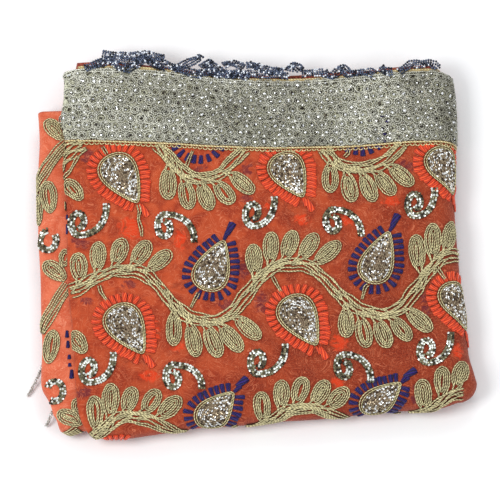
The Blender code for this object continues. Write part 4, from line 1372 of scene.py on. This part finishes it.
# Bead lace: strings of steel-coloured beads leave the selvage and come back to it in loops. They
# are sewn to a narrow tape along the edge. Each string is given as x and its reach past the tape.
LACE_ROOT = 1.8
LACE_STRANDS = 4
LACE_STRINGS = (
    ((-160, 3), (-150, 9), (-140, 11), (-130, 10.5), (-120, 10), (-110, 12), (-100, 13), (-90, 10),
     (-80, 7), (-70, 4.5), (-60, 3), (-50, 2)),
    ((-54, 3), (-45, 6), (-35, 7), (-25, 6), (-15, 6), (-5, 8), (5, 9), (15, 8), (25, 8), (38, 6)),
    ((-149, 18.5), (-141, 17.2), (-133, 16.1), (-125, 15.8), (-118, 17), (-112, 19.7), (-106, 21.1),
     (-98, 17.6), (-86, 16.8)),
    ((-167, 0), (-162, 2), (-156, 4.2), (-150, 6.6), (-143, 9.1), (-137, 5.7), (-131, 1.3),
     (-124, -0.5), (-116, 4.4), (-111, 10.8), (-106, 15.3), (-101, 10.4), (-96, 6.1), (-86, 4.1)),
    ((-79, 4.1), (-74, 7.4), (-69, 10.9), (-62, 16.5), (-55, 22.5), (-52.5, 28), (-50, 23.4)),
    ((-48, 16.2), (-43, 11.4), (-39, 8.1), (-34, 5.1), (-29, 3.2)),
    ((-43, 21.4), (-39, 17.4), (-36, 13.6), (-31, 8.9), (-25, 4.7)),
    ((-28, 17.2), (-23, 19.9), (-17, 21.3), (-11, 18.7), (-6, 14.7)),
    ((-26, 4.6), (-21, 6.7), (-15, 7.7), (-8, 5.7), (-1, 1.5)),
    ((-4, 19.1), (2, 19.4), (9, 18.3)),
    ((-1, 20.8), (5, 18.1), (11, 15.5), (19, 13), (27, 12.5), (34, 11.8)),
    ((37, 11.8), (39, 18), (43, 20.9), (48, 17.7), (52, 11.3)),
    ((52, 8.8), (59, 9), (67, 9), (74, 8.4)),
    ((75, 8.3), (77, 4.6), (81, 3.1), (86, 7.2), (90, 11.8), (93, 13.4), (96, 8.5), (99, 3.4),
     (107, 3.6), (114, 3.9), (121, 3.1), (125, -0.7)),
    ((132, 6.3), (134, 3.7), (137, 2.2), (140, 0.8), (143, 0.5)),
    ((149, 0), (154, 4.1), (160, 8.5), (166, 8.7), (173, 7.9), (179, 10.2), (185, 7.8), (190, 3.3)),
)


def lace_spot(x, reach):
    """Place of the bead lace: it sags as it stands out from the selvage."""
    point, side, up = panel_spot(x, back_edge(x) + LACE_ROOT + min(reach, 0))
    past = max(reach, 0)
    return point + Vector((0, past, -0.018 * past ** 2)), side, up


chance = Random(61)
lace_beads = []
for string in LACE_STRINGS:
    for strand in range(LACE_STRANDS):
        offsets = [2.5 * strand - 5.6 + 0.8 * sin(k * 1.7 + strand) for k in range(len(string))]
        moved = beside(list(string), offsets)
        for x, reach, way_x, way_y in even_points(moved, 2.5):
            point, side, up = lace_spot(x, reach)
            lift = (1.4 if reach > 0 else 3.2) + chance.uniform(-0.6, 0.6)
            size = chance.uniform(2.5, 3.1)
            place = bead_place(point + up * lift, Vector((way_x, way_y, 0.01)), up, size, size, size)
            lace_beads.append((place, chance.choice((0.0, 0.15, 0.3, 0.45, 0.5, 0.95))))
# Bright beads are painted glints and dark ones painted shade.
steel = stone_finish(
    "steel bead", (226, 232, 240), (92, 102, 124), (36, 40, 50), roughness=0.22, metallic=0.7
)
lace = scatter("lace_beads", bead_form("round"), lace_beads, steel, True)
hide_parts("bead_lace")
tape = Cords()
for edge in (0.6, 2.6):
    path = [(x, back_edge(x) + edge) for x in spread(-176, 192, 120)]
    tape.roll(lay_track(path, panel_spot, -0.6), 2.6, 1.6)
tape_piece = add_piece("lace_tape", tape.form(), gold_braid)

# Two loose strands of the same beads hang out between the folds at the lower left. Each is three
# fine strings of silver beads gathered in a knot.
LOOSE_STRANDS = (
    ("bead_strand_left", ((-206, -118, 13), (-210, -132, 10.5), (-216, -144, 5.5), (-223, -156, 2.6))),
    ("bead_strand_front", ((-198, -176, 12), (-201.5, -184, 7), (-204.5, -188.5, 2.6))),
)
chance = Random(71)
# Bright beads are painted glints and darker ones painted shade.
silver = stone_finish(
    "silver bead", (240, 240, 240), (196, 192, 184), (110, 96, 80), roughness=0.2, metallic=0.6
)
for name, points in LOOSE_STRANDS:
    places = []
    for strand in range(3):
        turn = 2 * pi * strand / 3
        for (x0, y0, z0), (x1, y1, z1) in zip(points, points[1:]):
            start, end = Vector((x0, y0, z0)), Vector((x1, y1, z1))
            way = (end - start).normalized()
            for k in range(ceil((end - start).length / 1.9)):
                at = start.lerp(end, k * 1.9 / (end - start).length)
                turn += 0.5
                at = at + Vector((cos(turn) * 1.1, 0, sin(turn) * 0.8))
                place = bead_place(at, way, Vector((0, 0, 1)), 2.1, 1.8, 1.8)
                places.append((place, chance.uniform(0.2, 1.0)))
    strand = scatter(name + "_beads", bead_form("round"), places, silver, True)
    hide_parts(name)

# Studio: a pale floor, a large soft light from the upper left, a fill from the right, and the
# camera at the angle of the photograph, far away so that the folds stay parallel.
VIEW_ANGLE = 68
VIEW_DISTANCE = 9.0
PHOTO_WIDTH = 0.5

floor_form = bmesh.new()
bmesh.ops.create_grid(floor_form, x_segments=1, y_segments=1, size=4.0)
bmesh.ops.translate(floor_form, vec=(0, 0, -0.0004), verts=floor_form.verts)
floor_mesh = bpy.data.meshes.new("floor")
floor_form.to_mesh(floor_mesh)
floor_form.free()
pale = Recipe("pale floor", roughness=0.9)
cloudy = pale.noise(pale.place("object"), 0.6, 2.0)
floor_mesh.materials.append(pale.cover(base_color=pale.mix(cloudy, rgb(250, 250, 250), rgb(255, 255, 255))))
floor = bpy.data.objects.new("floor", floor_mesh)
bpy.context.scene.collection.objects.link(floor)
floor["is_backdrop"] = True

for name, place, size, power in (
    ("key", (-1.1, -0.5, 1.7), 0.9, 22), ("fill", (1.4, -0.9, 1.2), 1.0, 7),
    ("back", (0.2, 1.3, 1.5), 0.8, 7),
):
    light = bpy.data.lights.new(name, "AREA")
    light.size = size
    light.energy = power
    lamp = bpy.data.objects.new(name, light)
    lamp.location = place
    lamp.rotation_euler = (-Vector(place)).to_track_quat("-Z", "Y").to_euler()
    bpy.context.scene.collection.objects.link(lamp)

world = bpy.data.worlds.new("studio")
world.use_nodes = True
world.node_tree.nodes["Background"].inputs["Color"].default_value = (0.95, 0.97, 1.0, 1.0)
world.node_tree.nodes["Background"].inputs["Strength"].default_value = 0.6
bpy.context.scene.world = world
bpy.context.scene.view_settings.view_transform = "Standard"

camera = bpy.data.cameras.new("camera")
camera.lens = camera.sensor_width * VIEW_DISTANCE / PHOTO_WIDTH
camera_object = bpy.data.objects.new("camera", camera)
target = Vector((-1.0, -12.8, STACK_HEIGHT)) - ORIGIN
back_way = Vector((0, -cos(radians(VIEW_ANGLE)), sin(radians(VIEW_ANGLE))))
camera_object.location = target * MM + back_way * VIEW_DISTANCE
camera_object.rotation_euler = (-back_way).to_track_quat("-Z", "Y").to_euler()
bpy.context.scene.collection.objects.link(camera_object)
bpy.context.scene.camera = camera_object

low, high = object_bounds()
